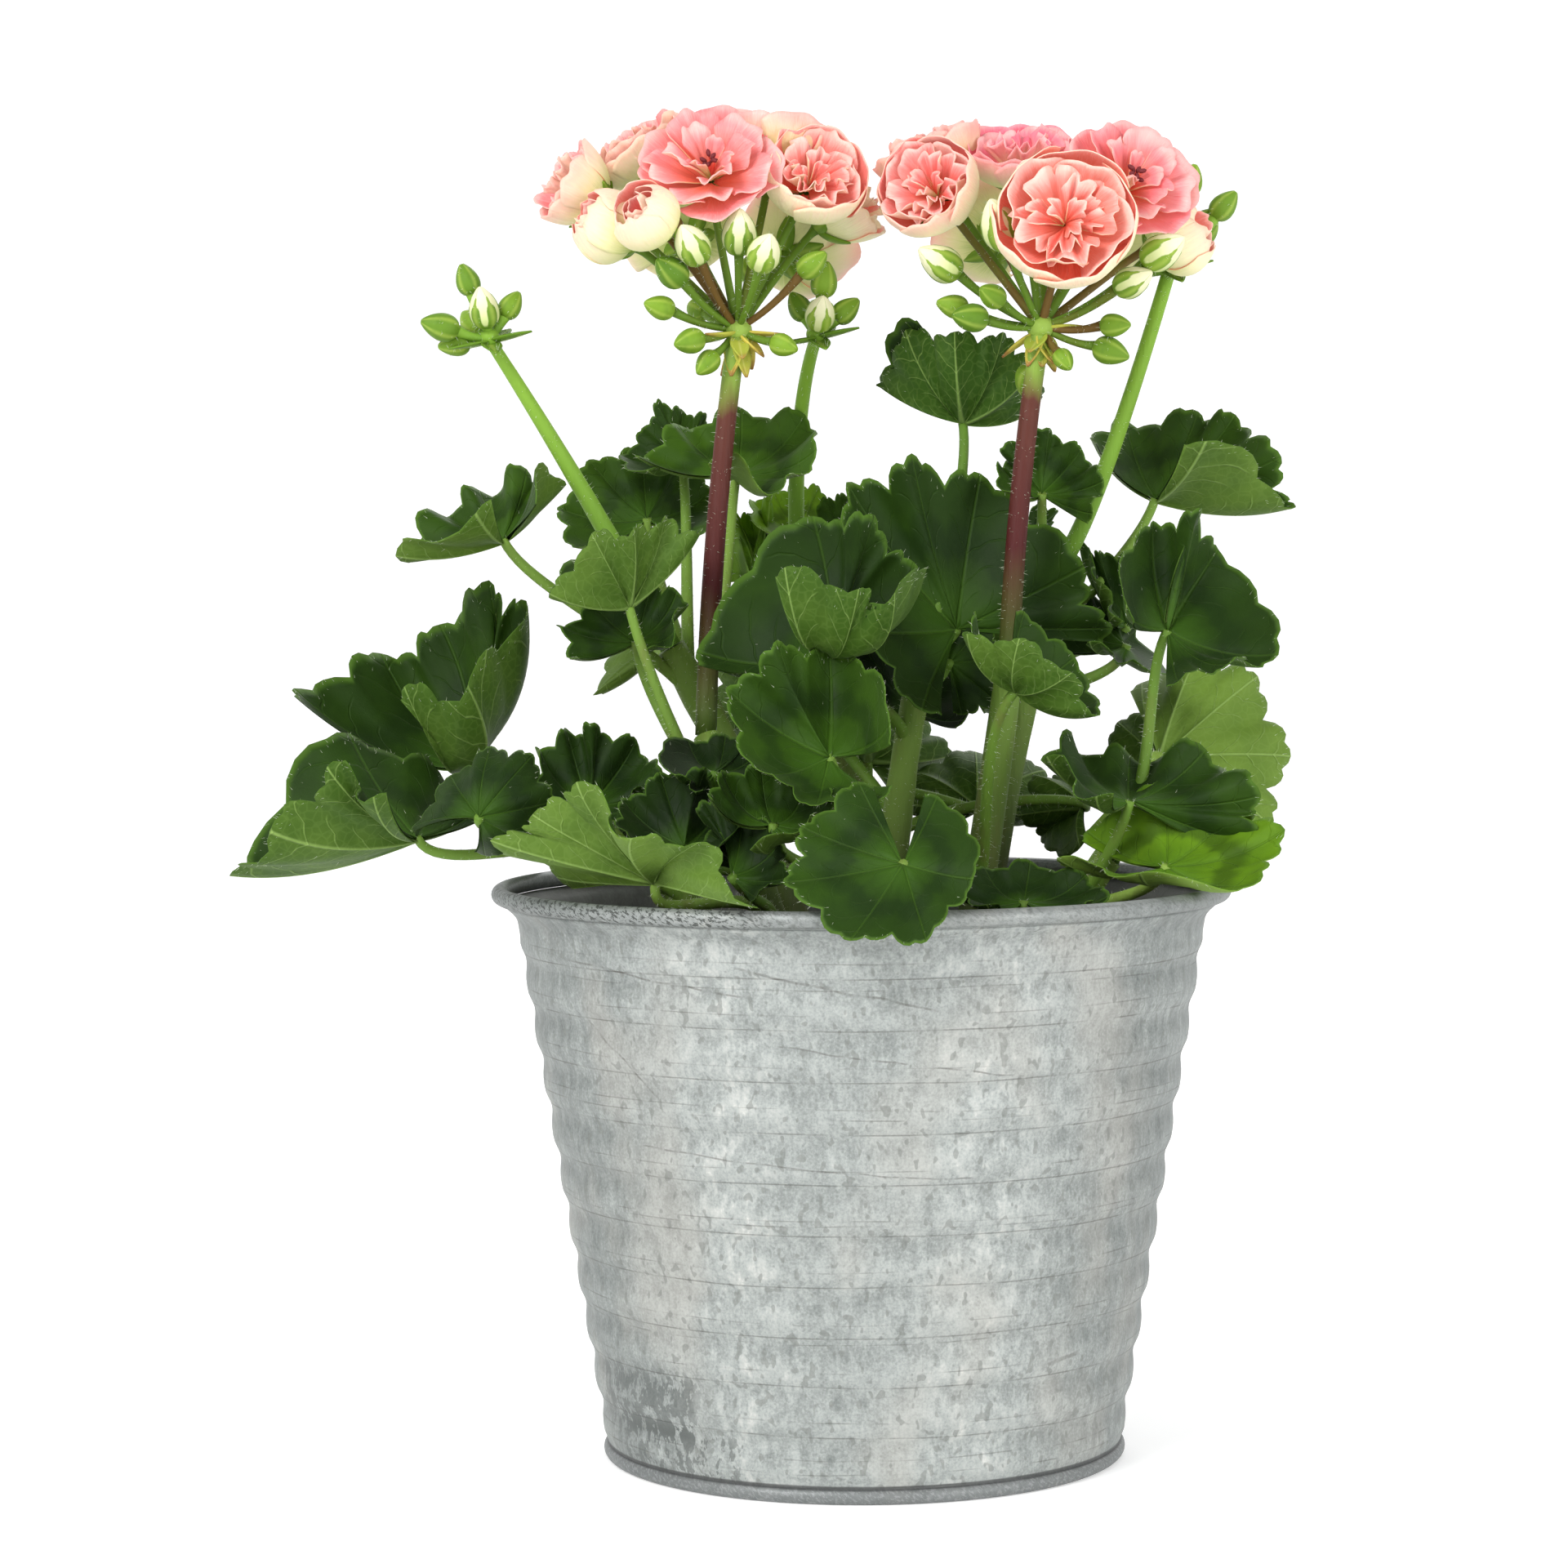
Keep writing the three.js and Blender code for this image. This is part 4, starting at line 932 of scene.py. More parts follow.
# %% [markdown]
# The tables below give, for each leaf, where its blade joins its stalk, its reach, how far up the stem
# its stalk starts, its tone, which is partly painted light, and its seven lobe tips. A tip says how far it
# lies to the right and up from the join as seen from the front, and which way its depth goes: 1 to the
# back and -1 to the front.

# %% Leaves by stem
LEAVES = {}

# %% [markdown]
# ### The left stem
#
# It leans over the rim and ends in two broad leaves that stand out to the left.

# %% Leaves of the left stem
LEAVES["left"] = [
    leaf("left_tip", (-106, -22, 153), 45, 0.8, 0.3, bow=0.05, tips=[
        (17, 9, 1), (4, 12, 1), (-19, 24, 1), (-45, -9, 0), (-32, 3, -1), (-18, 18, -1), (-7, 11, -1),
    ]),
    leaf("left_disc", (-89, -46, 159), 24, 0.45, 0.25, bow=-0.12, tips=[
        (0, -10, 1), (12, -7, 1), (17, 3, 1), (12, 14, 1), (2, 16, 1), (-8, 9, 1), (-17, -3, 1),
    ]),
    leaf("left_screen", (-72, 26, 152), 22, 0.6, 0.3, tips=[
        (-10, -9, 1), (-19, -3, 1), (-16, 8, 1), (-3, 13, 1), (12, 11, 1), (18, 1, 1), (10, -9, 1),
    ]),
    leaf("left_funnel", (-99, 8, 168), 44, 1, 0.3, bow=0.15, tips=[
        (-10, 21, -1), (5, 21, -1), (17, 41, 1), (8, 46, 0), (-6, 35, 1), (-21, 28, 1), (-40, 20, 1),
    ]),
]
print("left stem, leaves:", len(LEAVES["left"]))

# %% [markdown]
# ### The front left stem
#
# It carries the left flower stalk, a pale leaf that hangs over the rim and a tuft of ruffled young leaves.

# %% Leaves of the front left stem
LEAVES["front_left"] = [
    leaf("pale_funnel", (-55, -20, 208), 23, 0.45, 0.35, bow=0.05, tips=[
        (-9, 10, 1), (-18, 3, -1), (-8, 17, -1), (2, 18, -1), (9, 21, -1), (18, 18, 0), (12, 15, 1),
    ]),
    leaf("left_ruffle", (-65, -18, 160), 24, 0.5, 0.25, ruffle=0.12, tips=[
        (10, 1, -0.6), (18, 7, 0), (11, 15, 1), (2, 19, 0.6), (-6, 18, 1), (-13, 14, 0.3), (-9, 2, -0.6),
    ]),
    leaf("rim_pale", (-47, -60, 145), 34, 0.25, 0.45, arch=3, tips=[
        (-24, 0, 1), (-38, 10, 0.3), (-28, 16, -0.3), (-17, 24, -1), (-4, 12, -1.2), (11, 11, -1.3),
        (23, -3, -1.9),
    ]),
    leaf("rim_dark", (-30, -60, 146), 24, 0.2, 0.15, tips=[
        (6, -4, -0.6), (14, 1, -0.6), (11, 8, 0), (2, 19, 1), (-7, 17, 1), (-6, 9, 1), (-4, 3, 1),
    ]),
    leaf("nook", (-41, -47, 152), 20, 0.4, 0.15, tips=[
        (7, -1, -1), (9, 9, 1), (5, 18, 1), (-6, 17, 1), (-15, 11, 1), (-15, 5, -1), (-9, -2, -1),
    ]),
    leaf("under_funnel", (-54, -7, 199), 20, 0.5, 0.3, ruffle=0.12, tips=[
        (3, -5, -1), (10, 3, -1), (10, 12, 0.5), (4, 15, 0.5), (-10, 9, 0), (-19, 4, -1), (-15, -4, -1),
    ]),
    leaf("base_dark", (-34, -35, 169), 20, 0.8, 0.05, tips=[
        (8, -3, -1), (11, 5, 1), (9, 8, 1), (2, 8, 1), (-7, 7, 1), (-9, 0, -1), (-4, -4, -1),
    ]),
]
print("front_left stem, leaves:", len(LEAVES["front_left"]))

# %% [markdown]
# ### The front stem
#
# The lowest stem in front. Its open leaf hangs over the middle of the rim.

# %% Leaves of the front stem
LEAVES["front"] = [
    leaf("cup_low", (-20, -58, 158), 18, 0.5, 0.35, bow=0.2, tips=[
        (-4, -4, -1), (8, 1, -1), (14, 5, -1), (8, 11, 1), (-3, 13, 1), (-12, 12, 1), (-15, 7, -1),
    ]),
    leaf("front_open", (9.5, -84, 150.5), 28, 0.3, 0.3, bow=0.02, tips=[
        (-10, 17.5, 1), (-23, 8, 0.5), (-27, -4, -0.6), (-12, -16, -1), (5, -16, -1), (15.5, -3, -0.4),
        (8, 14.5, 0.8),
    ]),
    leaf("centre_open", (-7, -52, 173), 29, 0.95, 0.4, tips=[
        (14, 8, -1), (0, 24, 1), (-12, 27, 0), (-24, 16, 1), (-16, -2, -1), (-3, -10, -1), (13, -8, -1),
    ]),
]
print("front stem, leaves:", len(LEAVES["front"]))

# %% [markdown]
# ### The middle stem
#
# It holds the large dark leaf in the middle of the plant and the folded one in front of it.

# %% Leaves of the middle stem
LEAVES["middle"] = [
    leaf("big_base", (22, 5, 193), 18, 0.85, 0.2, bow=0.05, tips=[
        (3, -13, 0.3), (13, -11, 0.3), (15, 1, 0.4), (9, 10, 0.5), (-1, 11, 0.5), (-9, 2, 0.5),
        (-7, -12, 0.3),
    ]),
    leaf("big_dark", (24, 8, 201), 42, 1, 0.25, bow=0.05, tips=[
        (38, 0, -0.1), (31, 15, -0.15), (6, 38, 0.5), (-11, 43, 0), (-27, 36, 0), (-25, 1, -1), (-9, -19, -1),
    ]),
    leaf("cup_centre", (-8, -34, 199), 36, 0.75, 0.25, bow=0.2, tips=[
        (-9, 18, -1), (8, 13, -1), (16, 12, -1), (21, 19, 1), (12, 30, 1), (-3, 30, 1), (-31, -2, 1),
    ]),
    leaf("fan_top", (26, 26, 252), 25, 0.95, 0.15, bow=0.15, tips=[
        (-15, 26, 0), (-21.5, 9.5, 1), (-14, 23, 0), (-2, 22, -1), (10, 22, -1), (19, 16, -1), (20, 6, 1),
    ]),
    leaf("gap_dark", (11, 24, 182), 22, 0.6, 0.05, tips=[
        (15, -3, -1), (13, 9, 1), (9, 17, 1), (-2, 20, 1), (-11, 15, 1), (-14, 3, 1), (-9, -5, -1),
    ]),
    leaf("centre_back", (-20, 17, 195), 26, 0.5, 0.2, tips=[
        (13, 2, -1), (14, 16, 1), (10, 24, 0), (0, 22, 1), (-8, 15, 1), (-13, 6, 1), (-11, -4, -1),
    ]),
    leaf("mid_back", (-2, 30, 219), 18, 0.9, 0.5, tips=[
        (10, -2, 1), (12, 8, 1), (4, 16, 1), (-2, 16, 1), (-7, 15, 1), (-10, 4, 1), (-7, -6, -1),
    ]),
]
print("middle stem, leaves:", len(LEAVES["middle"]))

# %% [markdown]
# ### The right flower's stem
#
# A thick stem, bare but for one young leaf low on it.

# %% Leaves of the right flower's stem
LEAVES["right_stem"] = [
    leaf("young_front", (37, -40, 188), 21, 0.25, 0.3, tips=[
        (-10, 18, 1), (-12, 13, -1), (0, 12, -1), (12, 4, -1), (19, -6, -1), (14, 7, 1), (2, 18, 1),
    ]),
]
print("right flower's stem, leaves:", len(LEAVES["right_stem"]))

# %% [markdown]
# ### The upper left stem
#
# A tall stem with leaves that spread out below the left flower head.

# %% Leaves of the upper left stem
LEAVES["upper_left"] = [
    leaf("crown_left", (-30, 18, 240), 25, 0.85, 0.5, ruffle=0.1, tips=[
        (-4, 4, -1), (12, -4, -1), (20, 5, -1), (17, 14, 1), (1, 16, 1), (-15, 12, 1), (-25, 4, 0),
    ]),
    leaf("back_broad", (-53, 34, 229), 25, 0.85, 0.45, tips=[
        (16, -3, -1), (16, 7, 1), (10, 17, 1), (-2, 18, 1), (-15, 15, 1), (-23, 3, 1), (-17, -7, -1),
    ]),
    leaf("peak_left", (-44, 30, 244), 19, 0.9, 0.35, tips=[
        (7, 3, 1), (6, 11, 1), (0, 12, 1), (-6, 15, 1), (-10, 8, 1), (-16, 1, 1), (-8, -3, -1),
    ]),
    leaf("wing_left", (-86, -6, 224), 25, 0.8, 0.4, bow=0.05, ruffle=0.12, tips=[
        (9, 13, -1), (12, 15, 1), (5, 17, 1), (-7, 12, 1), (-18, 7, 1), (-26, -4, 0), (-5, 6, -1),
    ]),
    leaf("pale_tip", (-52, 50, 195), 17, 0.55, 0.5, tips=[
        (-8, -6, 1), (-16, -11, 0), (-10, 0, 1), (-5, 4, 1), (2, 6, 1), (7, 2, 1), (4, -4, 1),
    ]),
]
print("upper_left stem, leaves:", len(LEAVES["upper_left"]))

# %% [markdown]
# ### The back stem
#
# Most of its leaves face away from the camera and close the plant's far side.

# %% Leaves of the back stem
LEAVES["back"] = [
    leaf("glow_left", (-27, 51, 215), 22, 0.7, 0.85, tips=[
        (-5, -9, 1), (6, -5, -1), (7, 8, 1), (5, 20, 1), (-1, 15, 1), (-6, 17, 1), (-8, 0, 1),
    ]),
    leaf("glow_mid", (-14, 59, 226), 19, 0.8, 0.9, tips=[
        (7, -1, 1), (9, 5, 1), (4, 11, 1), (-2, 12, 1), (-8, 10, 1), (-14, 8, 1), (-7, -1, -1),
    ]),
    leaf("behind_low", (57, 38, 155), 18, 0.3, 0.3, tips=[
        (-2, -9, -1), (-11, -9, 1), (-17, -2, 1), (-13, 8, 1), (-6, 7, 1), (0, 7, 1), (6, 3, 1),
    ]),
    leaf("back_low_left", (-36, 52, 151), 28, 0.35, 0.3, tips=[
        (-12, -2, 1), (-24, 0, 1), (-20, 6, 1), (-3, 10, 1), (16, 8, 1), (22, 0, 1), (12, -2, 1),
    ]),
    leaf("back_low_right", (30, 52, 154), 30, 0.45, 0.3, tips=[
        (-14, -4, 1), (-24, 2, 1), (-18, 9, 1), (0, 14, 1), (18, 9, 1), (24, -1, 1), (11, -4, 1),
    ]),
    leaf("back_mid_right", (24, 58, 196), 28, 0.75, 0.3, tips=[
        (-12, -20, 1), (-26, -6, 1), (-20, 16, 1), (2, 26, 1), (20, 16, -1), (26, -4, 1), (12, -18, 1),
    ]),
    leaf("back_screen", (2, 66, 166), 27, 0.4, 0.3, tips=[
        (-12, -12, 1), (-24, 0, 1), (-18, 12, 1), (0, 18, -1), (15, 13, 1), (22, 1, 1), (11, -11, 1),
    ]),
    leaf("back_mid_left", (-18, 66, 182), 24, 0.6, 0.35, tips=[
        (-10, -16, 1), (-21, -4, 1), (-17, 13, 1), (0, 22, -1), (16, 14, 1), (22, -3, 1), (10, -16, 1),
    ]),
]
print("back stem, leaves:", len(LEAVES["back"]))

# %% [markdown]
# ### The upper right stem
#
# A tall stem with a wide leaf that spreads to the right below the bud stalk.

# %% Leaves of the upper right stem
LEAVES["upper_right"] = [
    leaf("frill", (45, 11, 234), 16, 0.8, 0.35, ruffle=0.16, tips=[
        (12, -5, -1), (15, 3, -1), (10, 11, 1), (2, 16, 1), (-8, 13, 1), (-11, 7, 1), (-6, 1, -1),
    ]),
    leaf("peep_right", (44, 46, 223), 14, 0.75, 0.4, tips=[
        (3, -5, -1), (6, -2, 1), (5, 3, 1), (7, 7, 1), (2, 9, 1), (-3, 4, 1), (-4, -3, -1),
    ]),
    leaf("wing_right", (74, 30, 233), 33, 0.75, 0.4, bow=0.06, tips=[
        (11, 14, -1), (35, -2, 0), (31, 10, -1), (21, 21, 1), (12, 22, 1), (-6, 20, 1), (-16, 15, -0.2),
    ]),
    leaf("right_small", (67, 24, 201), 19, 0.7, 0.3, tips=[
        (2, 6, 1), (3, 16, 1), (0, 19, 0), (-7, 19, 0), (-12, 22, 0), (-7, 11, -1), (-4, 3, -1),
    ]),
    leaf("mid_fold", (66, 14, 197), 22, 0.62, 0.25, tips=[
        (-10, 1, -1), (-1, -4, -1), (3, 3, 1), (0, 10, 1), (-8, 12, 1), (-17, 8, 1), (-22, 0, -1),
    ]),
]
print("upper_right stem, leaves:", len(LEAVES["upper_right"]))

# %% [markdown]
# ### The right stem
#
# A short stem that leans to the right, with a pale leaf seen from below and a bright one at the rim.

# %% Leaves of the right stem
LEAVES["right"] = [
    leaf("right_dark", (74, -14, 201), 29, 1, 0.25, tips=[
        (1, -12, -1), (13, -8, -1), (25.5, -6, -1), (13, 19, 1), (8, 29, 0), (-3, 26, 1), (-11, 6, -1),
    ]),
    leaf("right_screen", (79, 46, 164), 22, 0.5, 0.35, tips=[
        (-9, -10, 1), (-18, -2, 1), (-13, 12, 1), (0, 18, 1), (13, 12, 1), (18, 0, 1), (9, -12, 1),
    ]),
    leaf("right_pale", (75, 28, 168), 34, 0.85, 0.55, tips=[
        (-3, 18, 1), (12, 28, 1), (25, 20, 1), (33, 0, 1), (28, -18, 1), (4, -26, -1), (-17, -20, -1),
    ]),
    leaf("right_front", (64, -28, 161), 28, 0.7, 0.3, ruffle=0.1, tips=[
        (30, -11, -1), (31, 1, 0), (19, 11.5, 1), (1, 10, 1), (-13, 14, 1), (-20, 11, -0.7), (-9, 2, -1),
    ]),
    leaf("rim_bright", (72, -34, 146), 28, 0.4, 0.8, tips=[
        (-26, 2, -0.7), (-7, -1, -0.7), (21, -3, -1), (28, 8, 0), (18, 15, 1), (1, 19, 1), (-18, 7, 1),
    ]),
    leaf("rim_under", (38, -46, 139), 23, 0.1, 0.15, tips=[
        (13, -1, -1), (20, 1, -0.3), (15, 5, 0.6), (2, 8, 0.8), (-9, 7, 0.5), (-18, 3, -0.3), (-9, 0, -1),
    ]),
]
print("right stem, leaves:", len(LEAVES["right"]))

# %% [markdown]
# ### The look of a leaf
#
# The upper face is dark green with a darker horseshoe half way out, a lighter middle and a light rim; the
# lower face is pale with raised light veins. Seven main veins run to the lobe tips and each sends side
# veins off in chevrons. All of it is worked out from two point values, the turn round the blade and the
# share of the way out, so the pattern bends with every fold.


# %% Veins
def leaf_veins(tree):
    """How strongly a main vein, a side vein and the finest net show, from 0 to 1."""
    turn, out = tree.attribute("across"), tree.attribute("along")
    place = (turn + 1) * (LOBES / 2)
    aside = abs(place.fract() - 0.5)
    main = 1 - (aside * out).step(0.004, 0.022)
    wobble = (tree.noise(tree.place(), 130, 1) - 0.5) * 0.22
    chevron = ((out - aside * 0.62) * 4.6 + wobble + place.maths("FLOOR", place) * 0.37).wave_distance()
    side = (1 - chevron.step(0.012, 0.05)) * out.step(0.12, 0.3) * (1 - aside.step(0.3, 0.46))
    cells = {"Vector": tree.place(), "Scale": 420}
    net = tree.add("ShaderNodeTexVoronoi", {"feature": "DISTANCE_TO_EDGE"}, cells)
    return main, side, 1 - net.step(0.02, 0.12)


# %% Leaf finish
LEAF_GREENS = [
    (0.0, 0.0045, 0.014, 0.0012), (0.3, 0.016, 0.044, 0.0025), (0.6, 0.044, 0.108, 0.005),
    (1.0, 0.15, 0.3, 0.008),
]


def leaf_finish(tree):
    out, inside, tone = (tree.attribute(name) for name in ("along", "inside", "tone"))
    main, side, net = leaf_veins(tree)
    cloud = tree.noise(tree.place(), 55, 3, 0.6)
    # The leaf's tone is partly painted light: leaves lit from behind are set lighter.
    tone = tone + (cloud - 0.5) * 0.45
    upper = tree.ramp(tone, LEAF_GREENS)
    edge = (tree.noise(tree.place(), 90, 2) - 0.5) * 0.12
    zone = (out + edge).step(0.42, 0.52) * (1 - (out + edge).step(0.6, 0.76))
    upper = tree.mix(zone * 0.5, upper, colour(0.005, 0.018, 0.002))
    upper = tree.mix((1 - out.step(0.1, 0.5)) * 0.45, upper, colour(0.05, 0.13, 0.008))
    upper = tree.mix(out.step(0.95, 1.0) * 0.55, upper, colour(0.11, 0.23, 0.025))
    upper = tree.mix(main * 0.2 + side * 0.06, upper, colour(0.08, 0.18, 0.015))
    lower = tree.mix(tone.step(0.1, 0.9), colour(0.026, 0.072, 0.004), colour(0.19, 0.31, 0.045))
    lower = tree.mix(main * 0.6 + side * 0.35 + net * 0.08, lower, colour(0.26, 0.4, 0.1))
    base = tree.mix(inside, lower, upper)
    grain = tree.noise(tree.place(), 1500, 1, 0.7)
    height = inside * (main * -0.8 + side * -0.5) + (1 - inside) * (main + side * 0.8) + grain * 0.12
    rough = 0.52 + grain * 0.12 - main * 0.05
    return {"Base Color": base, "Roughness": rough, "Normal": bump(tree, height, 0.0006, 0.6)}


LEAF_FIXED = {
    "Sheen Weight": 0.04,
    "Sheen Roughness": 0.5,
    "Sheen Tint": colour(0.7, 0.9, 0.5),
    "Specular IOR Level": 0.14,
}
leaf_green = make_material("leaf_green", LEAF_FIXED, leaf_finish)


# %% Stem and stalk finish
def stem_finish(tree):
    along, tone, kind = (tree.attribute(name) for name in ("along", "tone", "kind"))
    cloud = tree.noise(tree.stretched(tree.place(), (1, 1, 0.25)), 180, 3, 0.6)
    # Leaf stalks take their leaf's tone, which is partly painted light.
    young = tree.mix(tone.step(0.0, 0.9), colour(0.09, 0.19, 0.02), colour(0.26, 0.4, 0.07))
    old = tree.mix(along.step(0.1, 0.8), colour(0.06, 0.08, 0.022), colour(0.15, 0.25, 0.04))
    base = tree.mix(kind, young, old)
    base = tree.mix(cloud.step(0.45, 0.75) * 0.4, base, colour(0.14, 0.1, 0.04))
    fibre = tree.noise(tree.stretched(tree.place(), (1, 1, 0.15)), 1200, 2, 0.6)
    return {"Base Color": base, "Roughness": 0.5 + fibre * 0.15, "Normal": bump(tree, fibre, 0.0004, 0.5)}


GREEN_FIXED = {"Specular IOR Level": 0.2}
stem_skin = make_material("stem_skin", GREEN_FIXED, stem_finish)


# %% Build the leafy stems
STEM_SIDES = 20


def leafy_stem(name, first_chance):
    tray = Tray()
    shares = np.linspace(0, 1, 26)
    path = np.vstack([(*STEMS[name][0][0], STEM_DEPTH), stem_points(name, shares)])
    thick, thin = STEMS[name][1]
    knees = sum(0.05 * np.exp(-(((shares - one["root"]) / 0.04) ** 2)) for one in LEAVES[name])
    radii = np.append(thick, (thick + (thin - thick) * shares) * (1 + knees))
    points, faces, along = tube_shape(path, radii, STEM_SIDES)
    tray.add(points, faces, 1, along=along, tone=0.3, fuzz=0.7, kind=1.0)
    for number, one in enumerate(LEAVES[name]):
        leaf_with_stalk(tray, name, one, (first_chance + 0.37 * number) % 1)
    made = tray.make(f"stem_{name}_leafy", [leaf_green, stem_skin])
    settle(made, [f"stem_{name}"])
    return made


leafy = {name: leafy_stem(name, 0.17 * number) for number, name in enumerate(STEMS)}

# %% [markdown]
# ## Flower heads
#
# Two tall stalks each carry a head of double flowers: ten on the left, eight on the right. Every flower
# has its own short stalk from the hub, and unopened buds stand between and below them. A flower is made
# of whorls of petals. It could be sculpted petal by petal, but a rule with a fixed seed gives each petal
# its own width, reach and ruffle, and only the kind of flower, its place and the way it looks are written
# down.

# %% Kinds of flower
# Each whorl: petals, half width in radians, the profile from the base to the rim as shares of the
# flower's radius and depth, how much it is ruffled, how far its sides lean and how many folds it has.
WHORLS = {
    "open": [
        (5, 0.84, ((0, 0), (0.4, 0.1), (0.72, 0.5), (1.0, 0.8)), 0.05, 0.09, 1.5),
        (5, 0.70, ((0, 0.05), (0.3, 0.25), (0.5, 0.75), (0.84, 1.08)), 0.07, 0.1, 1.8),
        (4, 0.60, ((0, 0.1), (0.12, 0.35), (0.3, 0.9), (0.56, 1.3)), 0.09, 0.16, 2.0),
        (3, 0.55, ((0, 0.1), (0.06, 0.4), (0.16, 0.8), (0.34, 1.15)), 0.1, 0.2, 2.0),
    ],
    "cup": [
        (5, 0.95, ((0, 0), (0.95, -0.05), (1.14, 0.55), (1.0, 0.98)), 0.03, 0.05, 1.2),
        (4, 0.95, ((0, 0.05), (0.45, 0.0), (0.8, 0.4), (0.93, 0.95)), 0.08, 0.08, 1.5),
        (4, 0.80, ((0, 0.15), (0.2, 0.2), (0.45, 0.55), (0.78, 0.9)), 0.15, 0.1, 2.6),
        (4, 0.70, ((0, 0.2), (0.1, 0.3), (0.28, 0.6), (0.56, 0.92)), 0.2, 0.12, 2.8),
        (3, 0.75, ((0, 0.2), (0.05, 0.4), (0.14, 0.65), (0.3, 0.88)), 0.2, 0.2, 2.2),
    ],
    "half": [
        (5, 0.90, ((0, 0), (0.75, 0.0), (0.98, 0.5), (1.05, 0.9)), 0.05, 0.06, 1.4),
        (4, 0.90, ((0, 0.05), (0.45, 0.05), (0.72, 0.5), (0.9, 1.0)), 0.1, 0.1, 1.8),
        (4, 0.75, ((0, 0.1), (0.25, 0.3), (0.42, 0.7), (0.68, 1.06)), 0.15, 0.14, 2.5),
        (4, 0.65, ((0, 0.2), (0.1, 0.4), (0.22, 0.75), (0.42, 1.04)), 0.17, 0.2, 2.5),
    ],
    "rolled": [
        (5, 1.05, ((0, 0), (1.05, -0.05), (1.3, 0.6), (0.66, 1.04)), 0.03, 0.06, 1.0),
        (3, 1.25, ((0, 0.05), (0.6, 0.1), (0.85, 0.6), (0.5, 1.0)), 0.05, 0.12, 1.5),
        (3, 1.25, ((0, 0.1), (0.3, 0.25), (0.5, 0.7), (0.3, 1.06)), 0.07, 0.16, 1.5),
    ],
}
print("kinds of flower:", ", ".join(WHORLS))


# %% The flowers of each head
def flower(name, at, look, radius, depth, kind, pink):
    """at is the flower's middle from the hub, look is the way it faces."""
    at = np.array(at, float)
    return dict(name=name, at=at, look=look, radius=radius, depth=depth, kind=kind, pink=pink)


FLOWERS = {
    "left": [
        flower("open", (-6, -10, 41), (0, -0.75, 0.66), 18, 9, "open", 0.5),
        flower("rose", (20.5, -5, 39.5), (0.3, -0.8, 0.5), 12, 13, "cup", 0.2),
        flower("pale", (30.5, 15.5, 34), (0.8, -0.1, 0.6), 10, 13, "half", 0.0),
        flower("upper", (-27, 11, 48), (-0.5, -0.2, 0.8), 13, 12, "half", 0.4),
        flower("far", (-43.5, -1, 37.5), (-0.8, -0.2, 0.5), 10, 13, "half", 0.5),
        flower("lower", (-36, -13, 28), (-0.8, -0.25, 0.55), 8.5, 14, "rolled", 0.1),
        flower("rolled", (-24, -25.5, 29), (-0.55, -0.65, 0.5), 8, 12, "rolled", 0.2),
        flower("behind", (9, 14, 50), (0.1, 0.3, 0.95), 14, 12, "half", 0.8),
        flower("back_left", (-16, 30, 30), (-0.3, 0.8, 0.5), 14, 12, "cup", 0.4),
        flower("back_right", (15, 34, 25), (0.3, 0.8, 0.4), 14, 12, "half", 0.5),
    ],
    "right": [
        flower("open", (23, -8, 37), (0.3, -0.75, 0.55), 17, 10, "open", 0.6),
        flower("front", (5, -28, 26), (0, -0.95, 0.3), 16, 12, "cup", 0.1),
        flower("rose", (-29, -11, 35.5), (-0.4, -0.8, 0.4), 12, 13, "cup", 0.3),
        flower("top", (-4, 4, 46), (0, -0.4, 0.9), 14, 12, "half", 1.0),
        flower("upper", (-28, 15, 47), (-0.4, 0.1, 0.9), 13, 12, "half", 0.7),
        flower("pale", (39, 5, 25), (0.9, -0.2, 0.4), 10, 13, "rolled", 0.0),
        flower("back_left", (-13, 32, 27), (-0.3, 0.8, 0.4), 14, 12, "half", 0.6),
        flower("back_right", (17, 30, 30), (0.3, 0.8, 0.5), 14, 12, "cup", 0.3),
    ],
}
print("flowers:", {side: len(rows) for side, rows in FLOWERS.items()})

# %% The buds of each head
# Each bud: its middle from the hub, and its radius. Buds wider than CREAM_BUD show cream petals.
BUDS = {
    "left": [
        ((1, -14, 22), 4.6), ((-10, -20, 19), 4.6), ((7, -20, 17), 4.4), ((-15, -17, 13), 3.8),
        ((18, -6, 15), 3.2), ((-18, -10, 5), 3), ((-11, -9, -3), 3.2), ((-7, -6, -8), 2.8),
        ((11, -6, -4), 2.8), ((4, 22, 16), 4.2), ((-10, 18, 6), 3),
    ],
    "right": [
        ((-10, -16, 23), 5.4), ((28, -13, 17), 4.6), ((-24, -9, 15), 4.6), ((21, -12, 10), 4),
        ((-17, -10, 2), 3.6), ((-21, -4, 5), 3), ((-12, -12, 7), 3), ((17, -8, 0), 2.9),
        ((16, -6, -6), 3.5), ((5, -7, -8), 2.4), ((-3, 8, -12), 3.3), ((2, 22, 14), 4.2),
    ],
}
CREAM_BUD = 3.9
SMALL_HEADS = {
    "left": [
        ((-5, -1, 14), 3), ((-11, -4, 3), 3.6), ((5, 1, 8), 2.8), ((-1, -3, 7), 4), ((-4, 4, 4), 3.4),
        ((-8, 0, -1), 3),
    ],
    "middle": [((2, -3, 13), 3.4), ((1, -5, 5), 4), ((7, 0, 6), 3), ((-4, 2, 7), 3)],
    "right": [((5, -3, 21), 3), ((13, -2, 15), 3.2), ((7, 0, 10), 3.6), ((3, 3, 12), 2.8), ((9, 4, 9), 3)],
}
